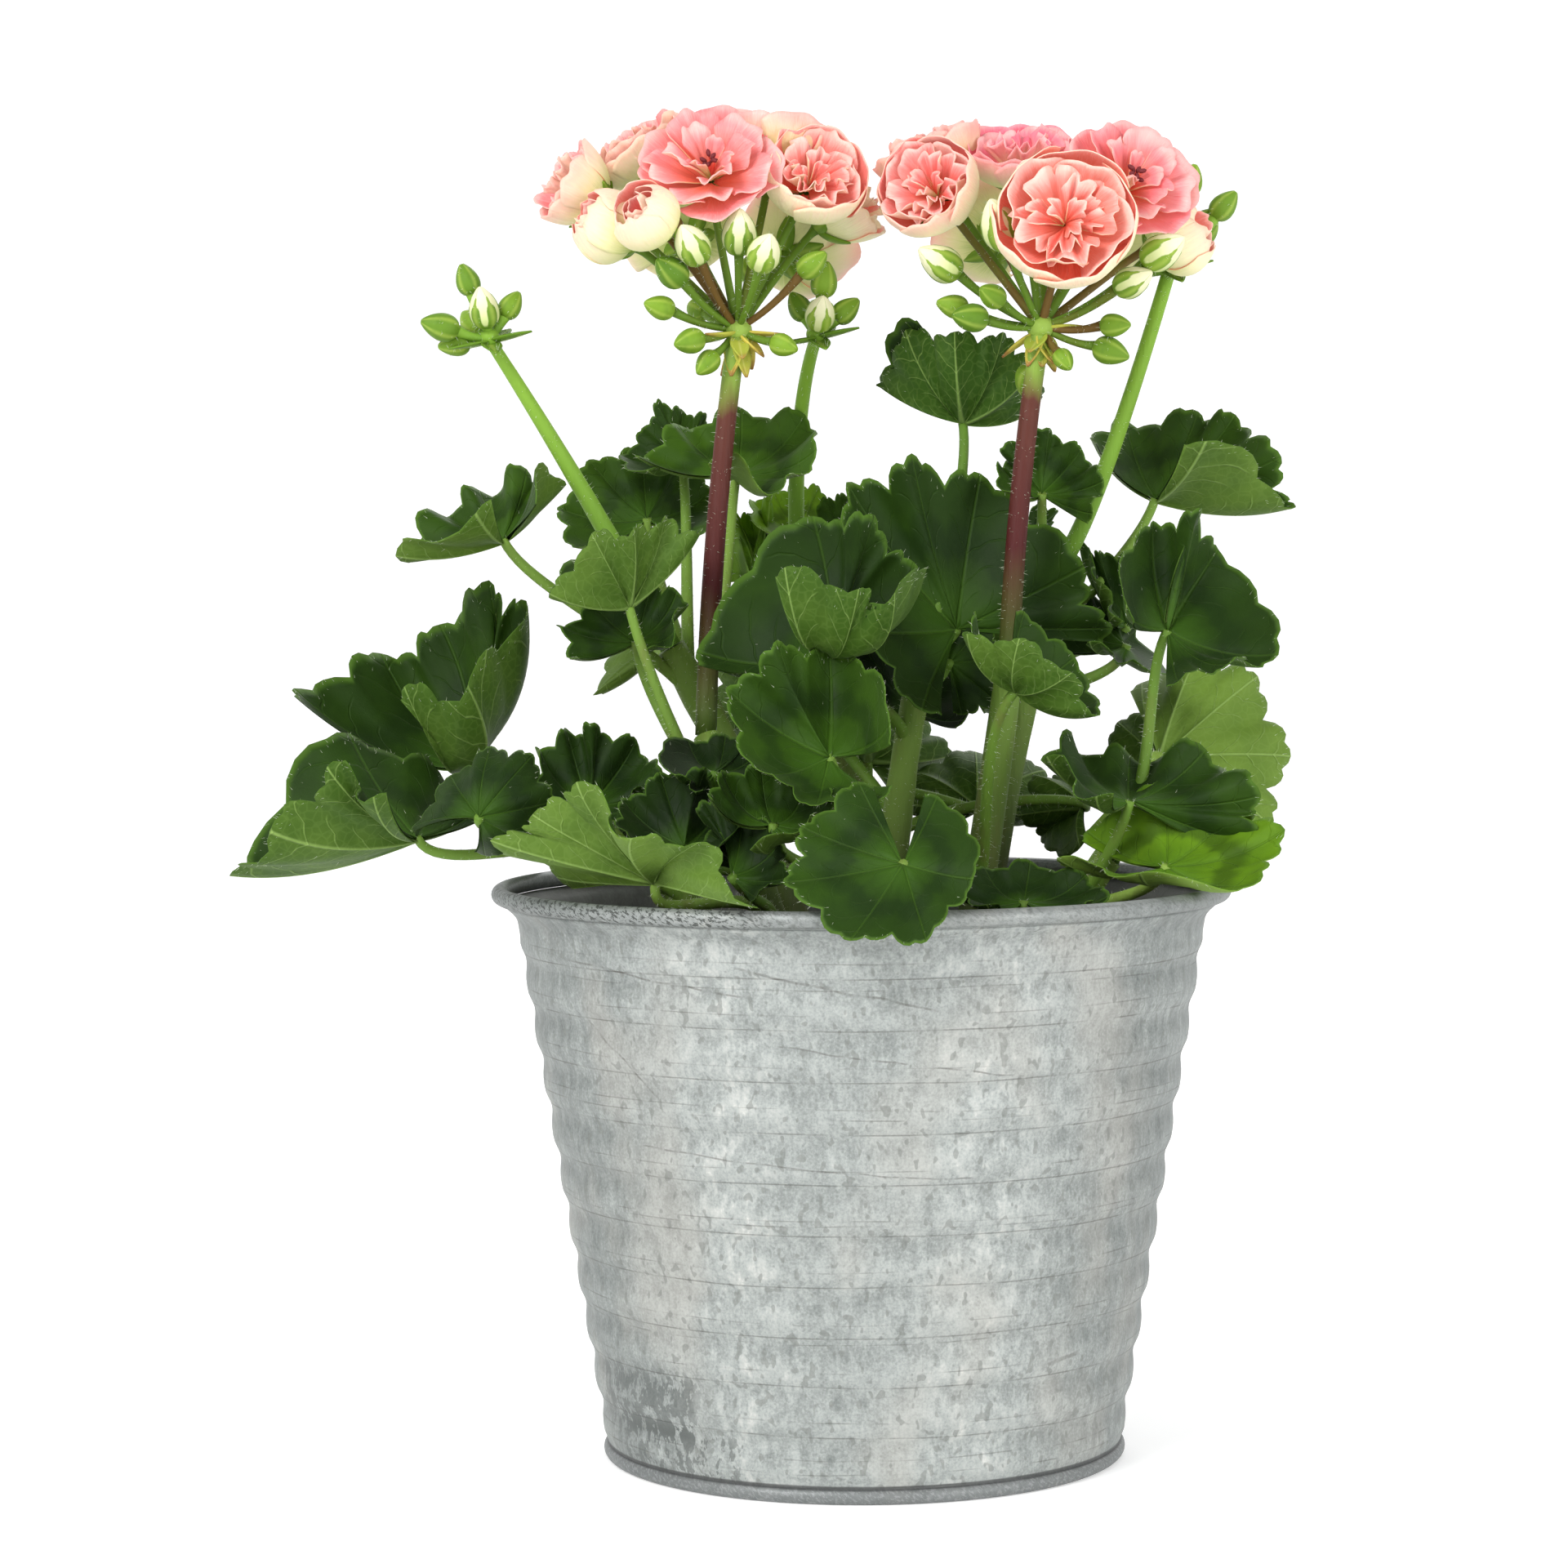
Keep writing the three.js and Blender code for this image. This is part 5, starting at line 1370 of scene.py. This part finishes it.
# Each stalk: the stem that it stands on, a point half way, its hub, and its radius at foot and top.
FLOWER_STALKS = {
    "left": ("front_left", (-34.5, -4, 225), (-29, 0, 274), (2.6, 2.3)),
    "right": ("right_stem", (39, -4, 232), (44.5, 0, 274), (2.6, 2.3)),
}
BUD_STALKS = {
    "left": ("upper_left", (-68, 3, 237), (-89, -2, 272), (2.7, 1.4)),
    "middle": ("back", (-15, 34, 246), (-10, 14, 273), (2.2, 1.5)),
    "right": ("upper_right", (60.5, 19, 239), (77, 20, 289), (2.3, 1.7)),
}
print("buds on the two heads:", sum(len(rows) for rows in BUDS.values()))


# %% [markdown]
# ### A petal
#
# A petal is a wedge of a cup round the flower's axis. It could be a flat outline bent twice, but with the
# cup's profile as a curve the same few lines make a wide open petal and a closed inner one. Towards the
# rim it is ruffled, and one side leans over its neighbour.

# %% Make a petal
PETAL_COLUMNS = 21
PETAL_ROWS = 13
PETAL_THICK = 0.4
NICK_DEPTH = 0.035
CORNER_ROUND = 0.2


def axes_round(look):
    """Right, up and outward directions of what faces that way."""
    axis = unit(np.array(look, float))
    right = unit(np.cross((0, 0, 1), axis))
    return right, np.cross(axis, right), axis


def surface_normals(points):
    return unit(np.cross(np.gradient(points, axis=0), np.gradient(points, axis=1)))


def petal(tray, base, axes, turn, half, profile, ruffle, lean, folds, random, **values):
    """The profile runs from the base to the rim, in mm out from the axis and along it."""
    right, up, axis = axes
    across = np.linspace(-1, 1, PETAL_COLUMNS)
    share = np.linspace(0.06, 1, PETAL_ROWS)[:, None]
    first, second, third = random.uniform(0, 2 * math.pi, 3)
    nick = NICK_DEPTH * np.cos(3 * math.pi * across + first) * (1 - np.abs(across))
    rim = 1 - CORNER_ROUND * np.abs(across) ** 3 + nick
    s = share * rim
    outline = bezier(profile, s)
    slope = unit(np.gradient(outline, axis=0))
    inward = np.stack([-slope[..., 1], slope[..., 0]], -1)
    size = profile[-1][0]
    wave = np.sin(folds * math.pi * across + second) + 0.4 * np.sin((folds + 2) * math.pi * across + third)
    shift = size * (ruffle * wave * s**2 + lean * across * s)
    outline = outline + inward * shift[..., None]
    angle = turn + across * half * (0.45 + 0.55 * np.sqrt(s))
    ways = right * np.cos(angle)[..., None] + up * np.sin(angle)[..., None]
    points = base + ways * outline[..., :1] + axis * outline[..., 1:]
    normals = surface_normals(points)
    shape, faces = blade_shape(points, normals, np.full(s.shape, PETAL_THICK) * (1.2 - 0.7 * s))
    tray.add(
        shape, faces, 0, along=np.tile(s.ravel(), 2), inside=np.repeat([1.0, 0.0], s.size),
        across=np.tile(np.broadcast_to(across, s.shape).ravel(), 2), chance=random.uniform(), **values,
    )


# %% Make the green tongues under a flower, and its stamens
SEPALS = 5
SEPAL_GAP = 0.5
SEPAL_WIDTH = 2.1
TONGUE_THICK = 0.45
STAMENS = 7
STAMEN_RADIUS = 0.28
ANTHER_RADIUS = 0.55


def tongue(tray, start, way, length, width, droop, slot, face=(0, 0, 1), **values):
    """A narrow pointed blade that sags by droop and is hollow along its middle."""
    axis = unit(np.array(way, float))
    side = unit(np.cross(face, axis))
    rise = np.cross(axis, side)
    along = np.linspace(0, 1, 10)[:, None]
    across = np.linspace(-1, 1, 7)
    half = width * np.sin(math.pi * (0.12 + 0.86 * along) ** 0.8) ** 0.9
    bend = (1 - across**2) * -0.35 * half - droop * along**2
    points = start + axis * (length * along)[..., None] + side * (half * across)[..., None]
    points = points + rise * bend[..., None]
    thick = np.full(bend.shape, TONGUE_THICK)
    shape, faces = blade_shape(points, surface_normals(points), thick)
    share = np.broadcast_to(along, bend.shape).ravel()
    sides = np.broadcast_to(across, bend.shape).ravel()
    tray.add(shape, faces, slot, along=np.tile(share, 2), across=np.tile(sides, 2), **values)


def sepals(tray, base, axes, radius, depth, random):
    right, up, axis = axes
    for number in range(SEPALS):
        angle = 2 * math.pi * (number + 0.5) / SEPALS + random.uniform(-0.15, 0.15)
        out = right * math.cos(angle) + up * math.sin(angle)
        way = out * radius * 0.95 + axis * depth * random.uniform(0.16, 0.3)
        start = base - axis * (SEPAL_GAP + PETAL_THICK) + out * 1.2
        length = random.uniform(0.72, 0.9) * min(radius, 11)
        droop = -0.16 * depth
        tongue(tray, start, way, length, SEPAL_WIDTH, droop, 1, axis, inside=1.0, tone=0.6, fuzz=0.6)


def stamens(tray, base, axes, depth, random):
    right, up, axis = axes
    for number in range(STAMENS):
        angle = 2 * math.pi * number / STAMENS
        out = right * math.cos(angle) + up * math.sin(angle)
        tip = base + axis * depth * random.uniform(0.75, 1.0) + out * random.uniform(0.8, 2.0)
        path = curve(base + axis, base + axis * depth * 0.6 + out * 0.8, tip, np.linspace(0, 1, 6))
        points, faces, _ = tube_shape(path, STAMEN_RADIUS, 6)
        tray.add(points, faces, 0, inside=1.0, along=0.5, tone=0.2)
        share = np.linspace(-1, 1, 7)
        path = tip + np.outer(share, unit(out + axis * 0.4))
        points, faces, _ = tube_shape(path, ANTHER_RADIUS * np.sqrt(1.05 - share**2), 8)
        tray.add(points, faces, 2)


# %% [markdown]
# ### Petal colours
#
# The inner face is deep coral in the throat and salmon to pink towards the rim, with fine streaks along
# the petal. The outer face is greenish cream at the base and cream further out. Closed flowers have a
# cream rim too. Colours are mixed by how far out a point lies, which face it is on and the flower's own
# share of pink. The petals also glow faintly in their own colour: painted light that lifts their shaded
# parts.


# %% Petal finish
PETAL_INSIDE = [
    (0.05, 0.78, 0.08, 0.04), (0.45, 0.87, 0.17, 0.11), (0.8, 0.91, 0.29, 0.23), (1.0, 0.93, 0.48, 0.42),
]
PETAL_OUTSIDE = [
    (0.1, 0.45, 0.55, 0.14), (0.35, 0.76, 0.75, 0.34), (0.7, 0.86, 0.79, 0.5), (1.0, 0.92, 0.66, 0.48),
]


def petal_finish(tree):
    names = ("along", "across", "inside", "tone", "chance", "kind")
    out, across, inside, pink, chance, closed = (tree.attribute(name) for name in names)
    flow = tree.add("ShaderNodeCombineXYZ", None, {"X": across * 7, "Y": out * 0.9, "Z": chance * 20})
    streak = tree.noise(flow, 2.2, 3, 0.6)
    fine = tree.noise(flow, 9, 1, 0.6)
    cloud = tree.noise(tree.place(), 150, 2)
    place = out + (streak - 0.5) * 0.35 + (chance - 0.5) * 0.25
    upper = tree.ramp(place, PETAL_INSIDE)
    rose = tree.mix(cloud.step(0.35, 0.7), colour(0.83, 0.14, 0.24), colour(0.93, 0.33, 0.4))
    upper = tree.mix(pink * out.step(0.3, 0.85) * 0.85, upper, rose)
    pale = (out + (fine - 0.5) * 0.08 + (chance - 0.5) * 0.2).step(0.86, 1.0)
    upper = tree.mix(pale * (0.25 + closed * 0.1), upper, colour(0.93, 0.72, 0.6))
    lower = tree.ramp(place, PETAL_OUTSIDE)
    lower = tree.mix(pink * out.step(0.35, 0.95) * 0.7, lower, rose)
    base = tree.mix(inside, lower, upper)
    base = tree.mix(fine.step(0.5, 0.8) * 0.15, base, colour(0.97, 0.85, 0.8))
    rough = 0.5 + (streak - 0.5) * 0.2
    relief = bump(tree, streak + fine * 0.4, 0.0006, 0.5)
    # Painted light: the petals glow faintly in their own colour.
    return {"Base Color": base, "Emission Color": base, "Roughness": rough, "Normal": relief}


# The emission is painted light, a faint glow in the petal's own colour.
PETAL_FIXED_WITH_PAINTED_GLOW = {"Specular IOR Level": 0.15, "Emission Strength": 0.1}


# %% Sepal and bract finishes
def bud_finish(tree):
    """Green sepals where the point value inside is 1, petals between them where it is 0."""
    names = ("along", "across", "inside", "tone")
    along, across, green, tone = (tree.attribute(name) for name in names)
    cloud = tree.noise(tree.place(), 300, 2)
    sepal = tree.mix(tone, colour(0.1, 0.21, 0.015), colour(0.2, 0.34, 0.025))
    sepal = tree.mix((1 - abs(across).step(0.0, 0.5)) * 0.5, sepal, colour(0.4, 0.52, 0.09))
    sepal = tree.mix(cloud.step(0.5, 0.8) * 0.35, sepal, colour(0.06, 0.15, 0.015))
    cream = tree.mix(along.step(0.2, 0.9), colour(0.6, 0.68, 0.28), colour(0.84, 0.82, 0.55))
    base = tree.mix(green.step(0.3, 0.6), cream, sepal)
    grain = tree.noise(tree.place(), 900, 2)
    return {"Base Color": base, "Roughness": 0.48 + grain * 0.1, "Normal": bump(tree, grain, 0.0004, 0.4)}


def bract_finish(tree):
    along, across, chance = (tree.attribute(name) for name in ("along", "across", "chance"))
    cloud = tree.noise(tree.place(), 350, 3)
    base = tree.mix(chance, colour(0.3, 0.4, 0.045), colour(0.7, 0.56, 0.1))
    brown = (along + (cloud - 0.5) * 0.5 + chance * 0.15).step(0.72, 1.15)
    base = tree.mix(brown, base, colour(0.36, 0.17, 0.05))
    base = tree.mix((1 - abs(across).step(0.0, 0.25)) * 0.3, base, colour(0.7, 0.66, 0.25))
    return {"Base Color": base, "Roughness": 0.6 + cloud * 0.1, "Normal": bump(tree, cloud, 0.0005, 0.4)}


# %% Stalk finish
STALK_TONES = [
    (0.0, 0.06, 0.1, 0.015), (0.2, 0.08, 0.06, 0.018), (0.35, 0.075, 0.012, 0.012),
    (0.78, 0.1, 0.028, 0.018), (0.88, 0.22, 0.34, 0.05), (1.0, 0.28, 0.42, 0.07),
]


def stalk_finish(tree):
    """Flower stalks are light green under the hub, red-brown lower down and green again at the foot."""
    along, kind, chance = (tree.attribute(name) for name in ("along", "kind", "chance"))
    cloud = tree.noise(tree.stretched(tree.place(), (1, 1, 0.2)), 220, 3, 0.6)
    height = along + (cloud - 0.5) * 0.1
    tall = tree.ramp(height, STALK_TONES)
    brown = (chance + (cloud - 0.5) * 0.3).step(0.5, 0.85)
    short = tree.mix(brown, colour(0.12, 0.22, 0.02), colour(0.15, 0.085, 0.02))
    light = tree.mix(along, colour(0.14, 0.28, 0.03), colour(0.22, 0.4, 0.04))
    base = tree.mix(kind.step(0.4, 0.6), short, tall)
    base = tree.mix(kind.step(1.4, 1.6), base, light)
    fibre = tree.noise(tree.stretched(tree.place(), (1, 1, 0.12)), 1300, 2, 0.6)
    return {"Base Color": base, "Roughness": 0.45 + fibre * 0.15, "Normal": bump(tree, fibre, 0.0004, 0.5)}


petal_skin = make_material("petal_skin", PETAL_FIXED_WITH_PAINTED_GLOW, petal_finish)
bud_skin = make_material("bud_skin", GREEN_FIXED, bud_finish)
bract_skin = make_material("bract_skin", GREEN_FIXED, bract_finish)
stalk_skin = make_material("stalk_skin", GREEN_FIXED, stalk_finish)
ANTHER_FIXED = {"Base Color": colour(0.16, 0.015, 0.02), "Roughness": 0.7}
anther_skin = make_material("anther_skin", ANTHER_FIXED, plain)
print("finishes so far:", len(bpy.data.materials))


# %% Build every flower
def build_flower(side, one, seed):
    random = np.random.default_rng(seed)
    tray = Tray()
    axes = axes_round(one["look"])
    hub = np.array(FLOWER_STALKS[side][2], float)
    base = hub + one["at"] - axes[2] * one["depth"]
    closed = 0.0 if one["kind"] == "open" else 1.0
    for number, (count, half, profile, ruffle, lean, folds) in enumerate(WHORLS[one["kind"]]):
        loose = 0.1 + 0.08 * number
        for each in range(count):
            turn = 2 * math.pi * (each + 0.5 * number) / count + random.uniform(-loose, loose) + 0.2 * number
            wide, high = random.uniform(0.94, 1.05), random.uniform(1 - loose, 1.06)
            shape = [(out * one["radius"] * wide, rise * one["depth"] * high) for out, rise in profile]
            petal(
                tray, base + axes[2] * 0.3 * number, axes, turn, half * random.uniform(0.9, 1.08), shape,
                ruffle, lean, folds, random, tone=one["pink"], kind=closed,
            )
    sepals(tray, base, axes, one["radius"], one["depth"], random)
    if one["kind"] == "open":
        stamens(tray, base, axes, one["depth"], random)
    made = tray.make(f"bloom_{side}_{one['name']}_petals", [petal_skin, bud_skin, anther_skin])
    settle(made, [f"bloom_{side}_{one['name']}"])


for index, (side, rows) in enumerate(FLOWERS.items()):
    for number, one in enumerate(rows):
        build_flower(side, one, 100 * index + number)


# %% [markdown]
# ### Stalks, buds and bracts
#
# The tall stalk is a slightly tapered tube, with a swollen hub where all the short stalks meet. A bud is
# an egg of petals held by five sepals. It could be two objects, but one closed shape is enough: the
# sepals are raised a little where their mask is 1, and the finish reads the same mask.

# %% Make buds, short stalks and bracts
BUD_ROWS = 17
BUD_SIDES = 25
HUB_INSIDE = 2.6
NECK_LENGTH = 4.5


def bud(tray, middle, way, radius, random):
    u = np.linspace(0, 1, BUD_ROWS)
    profile = (u + 0.02) ** 0.5 * (1.02 - u) ** 0.85
    radii = radius * 0.88 * profile / profile.max()
    path = middle + np.outer((u * 2.6 - 1.1) * radius, way)
    points, faces, along = tube_shape(path, radii, BUD_SIDES)
    around = np.tile(np.arange(BUD_SIDES) * SEPALS / BUD_SIDES, BUD_ROWS)
    aside = np.abs(around % 1 - 0.5) * 2
    reach = 0.8 if radius > CREAM_BUD else 1.15
    width = np.clip(reach - along, 0, 1) ** 0.6
    mask = np.clip((width - (1 - aside)) / 0.2 + 0.5, 0, 1) if radius > CREAM_BUD else np.ones(len(points))
    seam = np.clip(1 - (1 - np.abs(1 - aside)) * 6, 0, 1)
    centres = np.repeat(path, BUD_SIDES, axis=0)
    outward = (points - centres) / np.maximum(np.repeat(radii, BUD_SIDES), 0.2)[:, None]
    lift = 0.3 * mask - 0.3 * seam * mask * (radius <= CREAM_BUD)
    points = points + outward * lift[:, None]
    tray.add(
        points, faces, 1, along=along, across=1 - aside, inside=mask, tone=random.uniform(0, 1),
        chance=random.uniform(), fuzz=0.5,
    )


def bud_with_stalk(tray, hub, at, radius, thick, kind, random):
    at = np.array(at, float)
    way = unit(at)
    foot = hub + way * HUB_INSIDE * 0.5
    end = hub + at - way * radius * 1.05
    middle = (foot + end) / 2 + (0, 0, -0.06 * np.linalg.norm(end - foot))
    radii = thick * (1 + 0.5 * np.linspace(0, 1, 12) ** 4)
    points, faces, along = tube_shape(curve(foot, middle, end, np.linspace(0, 1, 12)), radii, 10)
    tray.add(points, faces, 0, along=along, chance=random.uniform(), kind=kind, fuzz=0.8)
    bud(tray, hub + at, way, radius, random)


def short_stalk(tray, hub, one, random):
    axis = unit(np.array(one["look"], float))
    end = hub + one["at"] - axis * (one["depth"] + 0.5)
    neck = end - axis * NECK_LENGTH
    foot = hub + unit(neck - hub) * HUB_INSIDE * 0.5
    ends = (foot, foot * 0.5 + neck * 0.5, neck, end)
    shares = np.linspace(0, 1, 18)
    radii = 0.95 + 0.25 * np.exp(-shares * 8) + 1.3 * np.clip((shares - 0.8) / 0.2, 0, 1) ** 2
    points, faces, along = tube_shape(bezier(ends, shares), radii, 12)
    tray.add(points, faces, 0, along=along, chance=random.uniform(), kind=0.0, fuzz=0.5)


def tall_stalk(tray, stem, middle, hub, radii, kind):
    shares = np.linspace(0, 1, 40)
    seat = stem_points(stem, np.array([0.67, 1.0]))
    slope = unit(seat[1] - seat[0])
    foot = seat[1] + slope * SEAT_GAP
    rest = curve(foot, middle, hub, np.linspace(0.06, 1, 39))
    path = np.vstack([foot, rest])
    thick = radii[0] + (radii[1] - radii[0]) * shares
    points, faces, along = tube_shape(path, thick, 24)
    tray.add(points, faces, 0, along=along, kind=kind, chance=0.5, fuzz=0.8)


def hub_knob(tray, hub, knob, kind):
    """The knob is given by its radius and by how far it goes under and over the hub."""
    thick, low, high = knob
    shares = np.linspace(0, 1, 11)
    path = np.array(hub, float) + np.outer(low + (high - low) * shares, (0, 0, 1))
    points, faces, _ = tube_shape(path, thick * np.sqrt(1.03 - (2 * shares - 1) ** 2), 20)
    tray.add(points, faces, 0, along=1.0, kind=kind, chance=0.2, fuzz=0.4)


# %% Build the two flower stalks
BRACTS = 13
BRACT_LENGTH = 10
HEAD_KNOB = (3.5, -3, 3)
HEAD_BUD_STALK = 0.85


def bracts(tray, hub, random):
    for number in range(BRACTS):
        angle = 2 * math.pi * number / BRACTS + random.uniform(-0.2, 0.2)
        way = (math.cos(angle), math.sin(angle), random.uniform(-2.4, 0.2))
        start = np.array(hub, float) + unit(np.array(way)) * 1.8
        reach = BRACT_LENGTH * random.uniform(0.7, 1.05)
        tongue(
            tray, start, way, reach, random.uniform(2.0, 3.2), random.uniform(-0.5, 1.5), 2,
            chance=random.uniform(), fuzz=0.3,
        )


def flower_stalk(side, seed):
    random = np.random.default_rng(seed)
    stem, middle, hub, radii = FLOWER_STALKS[side]
    tray = Tray()
    tall_stalk(tray, stem, middle, hub, radii, 1.0)
    hub_knob(tray, hub, HEAD_KNOB, 1.0)
    bracts(tray, hub, random)
    hub = np.array(hub, float)
    for one in FLOWERS[side]:
        short_stalk(tray, hub, one, random)
    for at, radius in BUDS[side]:
        bud_with_stalk(tray, hub, at, radius, HEAD_BUD_STALK, 0.0, random)
    made = tray.make(f"flower_stalk_{side}_whole", [stalk_skin, bud_skin, bract_skin])
    settle(made, [f"flower_stalk_{side}"])
    return made


flower_stalks = [flower_stalk(side, 7 + number) for number, side in enumerate(FLOWER_STALKS)]


# %% Build the three bud stalks
SMALL_KNOB = (2.5, -2, 3)
SMALL_BUD_STALK = 1.1
SMALL_BRACTS = ((1, -0.3, 0.3), (-0.9, -0.5, -0.1), (0.4, 0.9, 0.4), (0.2, -0.9, -0.2))
SMALL_BRACT_LENGTH = 11
SMALL_BRACT_WIDTH = 2.4


def bud_stalk(side, seed):
    random = np.random.default_rng(seed)
    stem, middle, hub, radii = BUD_STALKS[side]
    tray = Tray()
    tall_stalk(tray, stem, middle, hub, radii, 2.0)
    hub_knob(tray, hub, SMALL_KNOB, 2.0)
    hub = np.array(hub, float)
    for way in SMALL_BRACTS:
        tongue(
            tray, hub, way, SMALL_BRACT_LENGTH, SMALL_BRACT_WIDTH, 1, 1, inside=1.0, tone=0.2, fuzz=1.0
        )
    for at, radius in SMALL_HEADS[side]:
        bud_with_stalk(tray, hub, at, radius, SMALL_BUD_STALK, 2.0, random)
    made = tray.make(f"bud_stalk_{side}_whole", [stalk_skin, bud_skin])
    settle(made, [f"bud_stalk_{side}"])
    return made


bud_stalks = [bud_stalk(side, 17 + number) for number, side in enumerate(BUD_STALKS)]

# %% [markdown]
# ## Hairs
#
# Young stems, stalks, buds and the rims of the leaves carry fine white hairs, which draw a light line
# round everything green. They could be particles, but those are dropped on export. A Geometry Nodes tree
# scatters points where the point value fuzz asks for them and puts a thin cone on each, leaning the way
# the leaf runs out, with some spread. Density, length, thickness and seed are the tree's inputs.

# %% The hairs' rule
HAIR_SIZES = {
    "Density": 330000.0,
    "Length": 1.15 * MM,
    "Thickness": 0.045 * MM,
    "Spread": 0.5,
    "Seed": 5,
}


def hair_tree(material):
    tree, size = geometry_tree("hair_rule", HAIR_SIZES, takes_mesh=True)
    named = "GeometryNodeInputNamedAttribute"
    fuzz = tree.add(named, {"data_type": "FLOAT"}, {"Name": "fuzz"}, "Attribute")
    lean = tree.add(named, {"data_type": "FLOAT_VECTOR"}, {"Name": "lean"}, "Attribute")
    spots = tree.add(
        "GeometryNodeDistributePointsOnFaces", None,
        {"Mesh": size["Mesh"], "Density": fuzz * size["Density"], "Seed": size["Seed"]},
    )
    normal = Wire(tree, spots.socket.node.outputs["Normal"])
    way = tree.add("ShaderNodeVectorMath", {"operation": "ADD"}, {0: normal, 1: lean})
    turned = tree.add("FunctionNodeAlignRotationToVector", {"axis": "Z"}, {"Vector": way})
    chance = {0: (-1, -1, 0), 1: (1, 1, 0), "Seed": size["Seed"]}
    tilt = tree.add("FunctionNodeRandomValue", {"data_type": "FLOAT_VECTOR"}, chance, 0)
    tilt = tree.add("ShaderNodeVectorMath", {"operation": "SCALE"}, {0: tilt, "Scale": size["Spread"]})
    tilt = tree.add("FunctionNodeEulerToRotation", None, {0: tilt})
    turned = tree.add("FunctionNodeRotateRotation", {"rotation_space": "LOCAL"}, {0: turned, 1: tilt})
    chance = {2: 0.45, 3: 1.2, "Seed": size["Seed"]}
    grown = tree.add("FunctionNodeRandomValue", {"data_type": "FLOAT"}, chance, 1)
    cone = tree.add(
        "GeometryNodeMeshCone", None,
        {"Vertices": 3, "Radius Top": 0, "Radius Bottom": size["Thickness"], "Depth": size["Length"]},
    )
    hairs = tree.add(
        "GeometryNodeInstanceOnPoints", None,
        {"Points": spots, "Instance": cone, "Rotation": turned, "Scale": grown},
    )
    return finish_tree(tree, hairs, material)


def hair_finish(tree):
    cloud = tree.noise(tree.place(), 60, 2)
    return {"Base Color": tree.mix(cloud, colour(0.6, 0.68, 0.45), colour(0.8, 0.84, 0.7))}


# %% Grow the hairs
fine_hair = make_material("fine_hair", {"Roughness": 0.5, "Specular IOR Level": 0.3}, hair_finish)
hair_rule = hair_tree(fine_hair)
for base in [*leafy.values(), *flower_stalks, *bud_stalks]:
    hairs = run_tree(base.name.rsplit("_", 1)[0] + "_hairs", hair_rule, HAIR_SIZES, base)
    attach(hairs, "root")
    print(hairs.name, "triangles:", sum(len(p.vertices) - 2 for p in hairs.data.polygons))
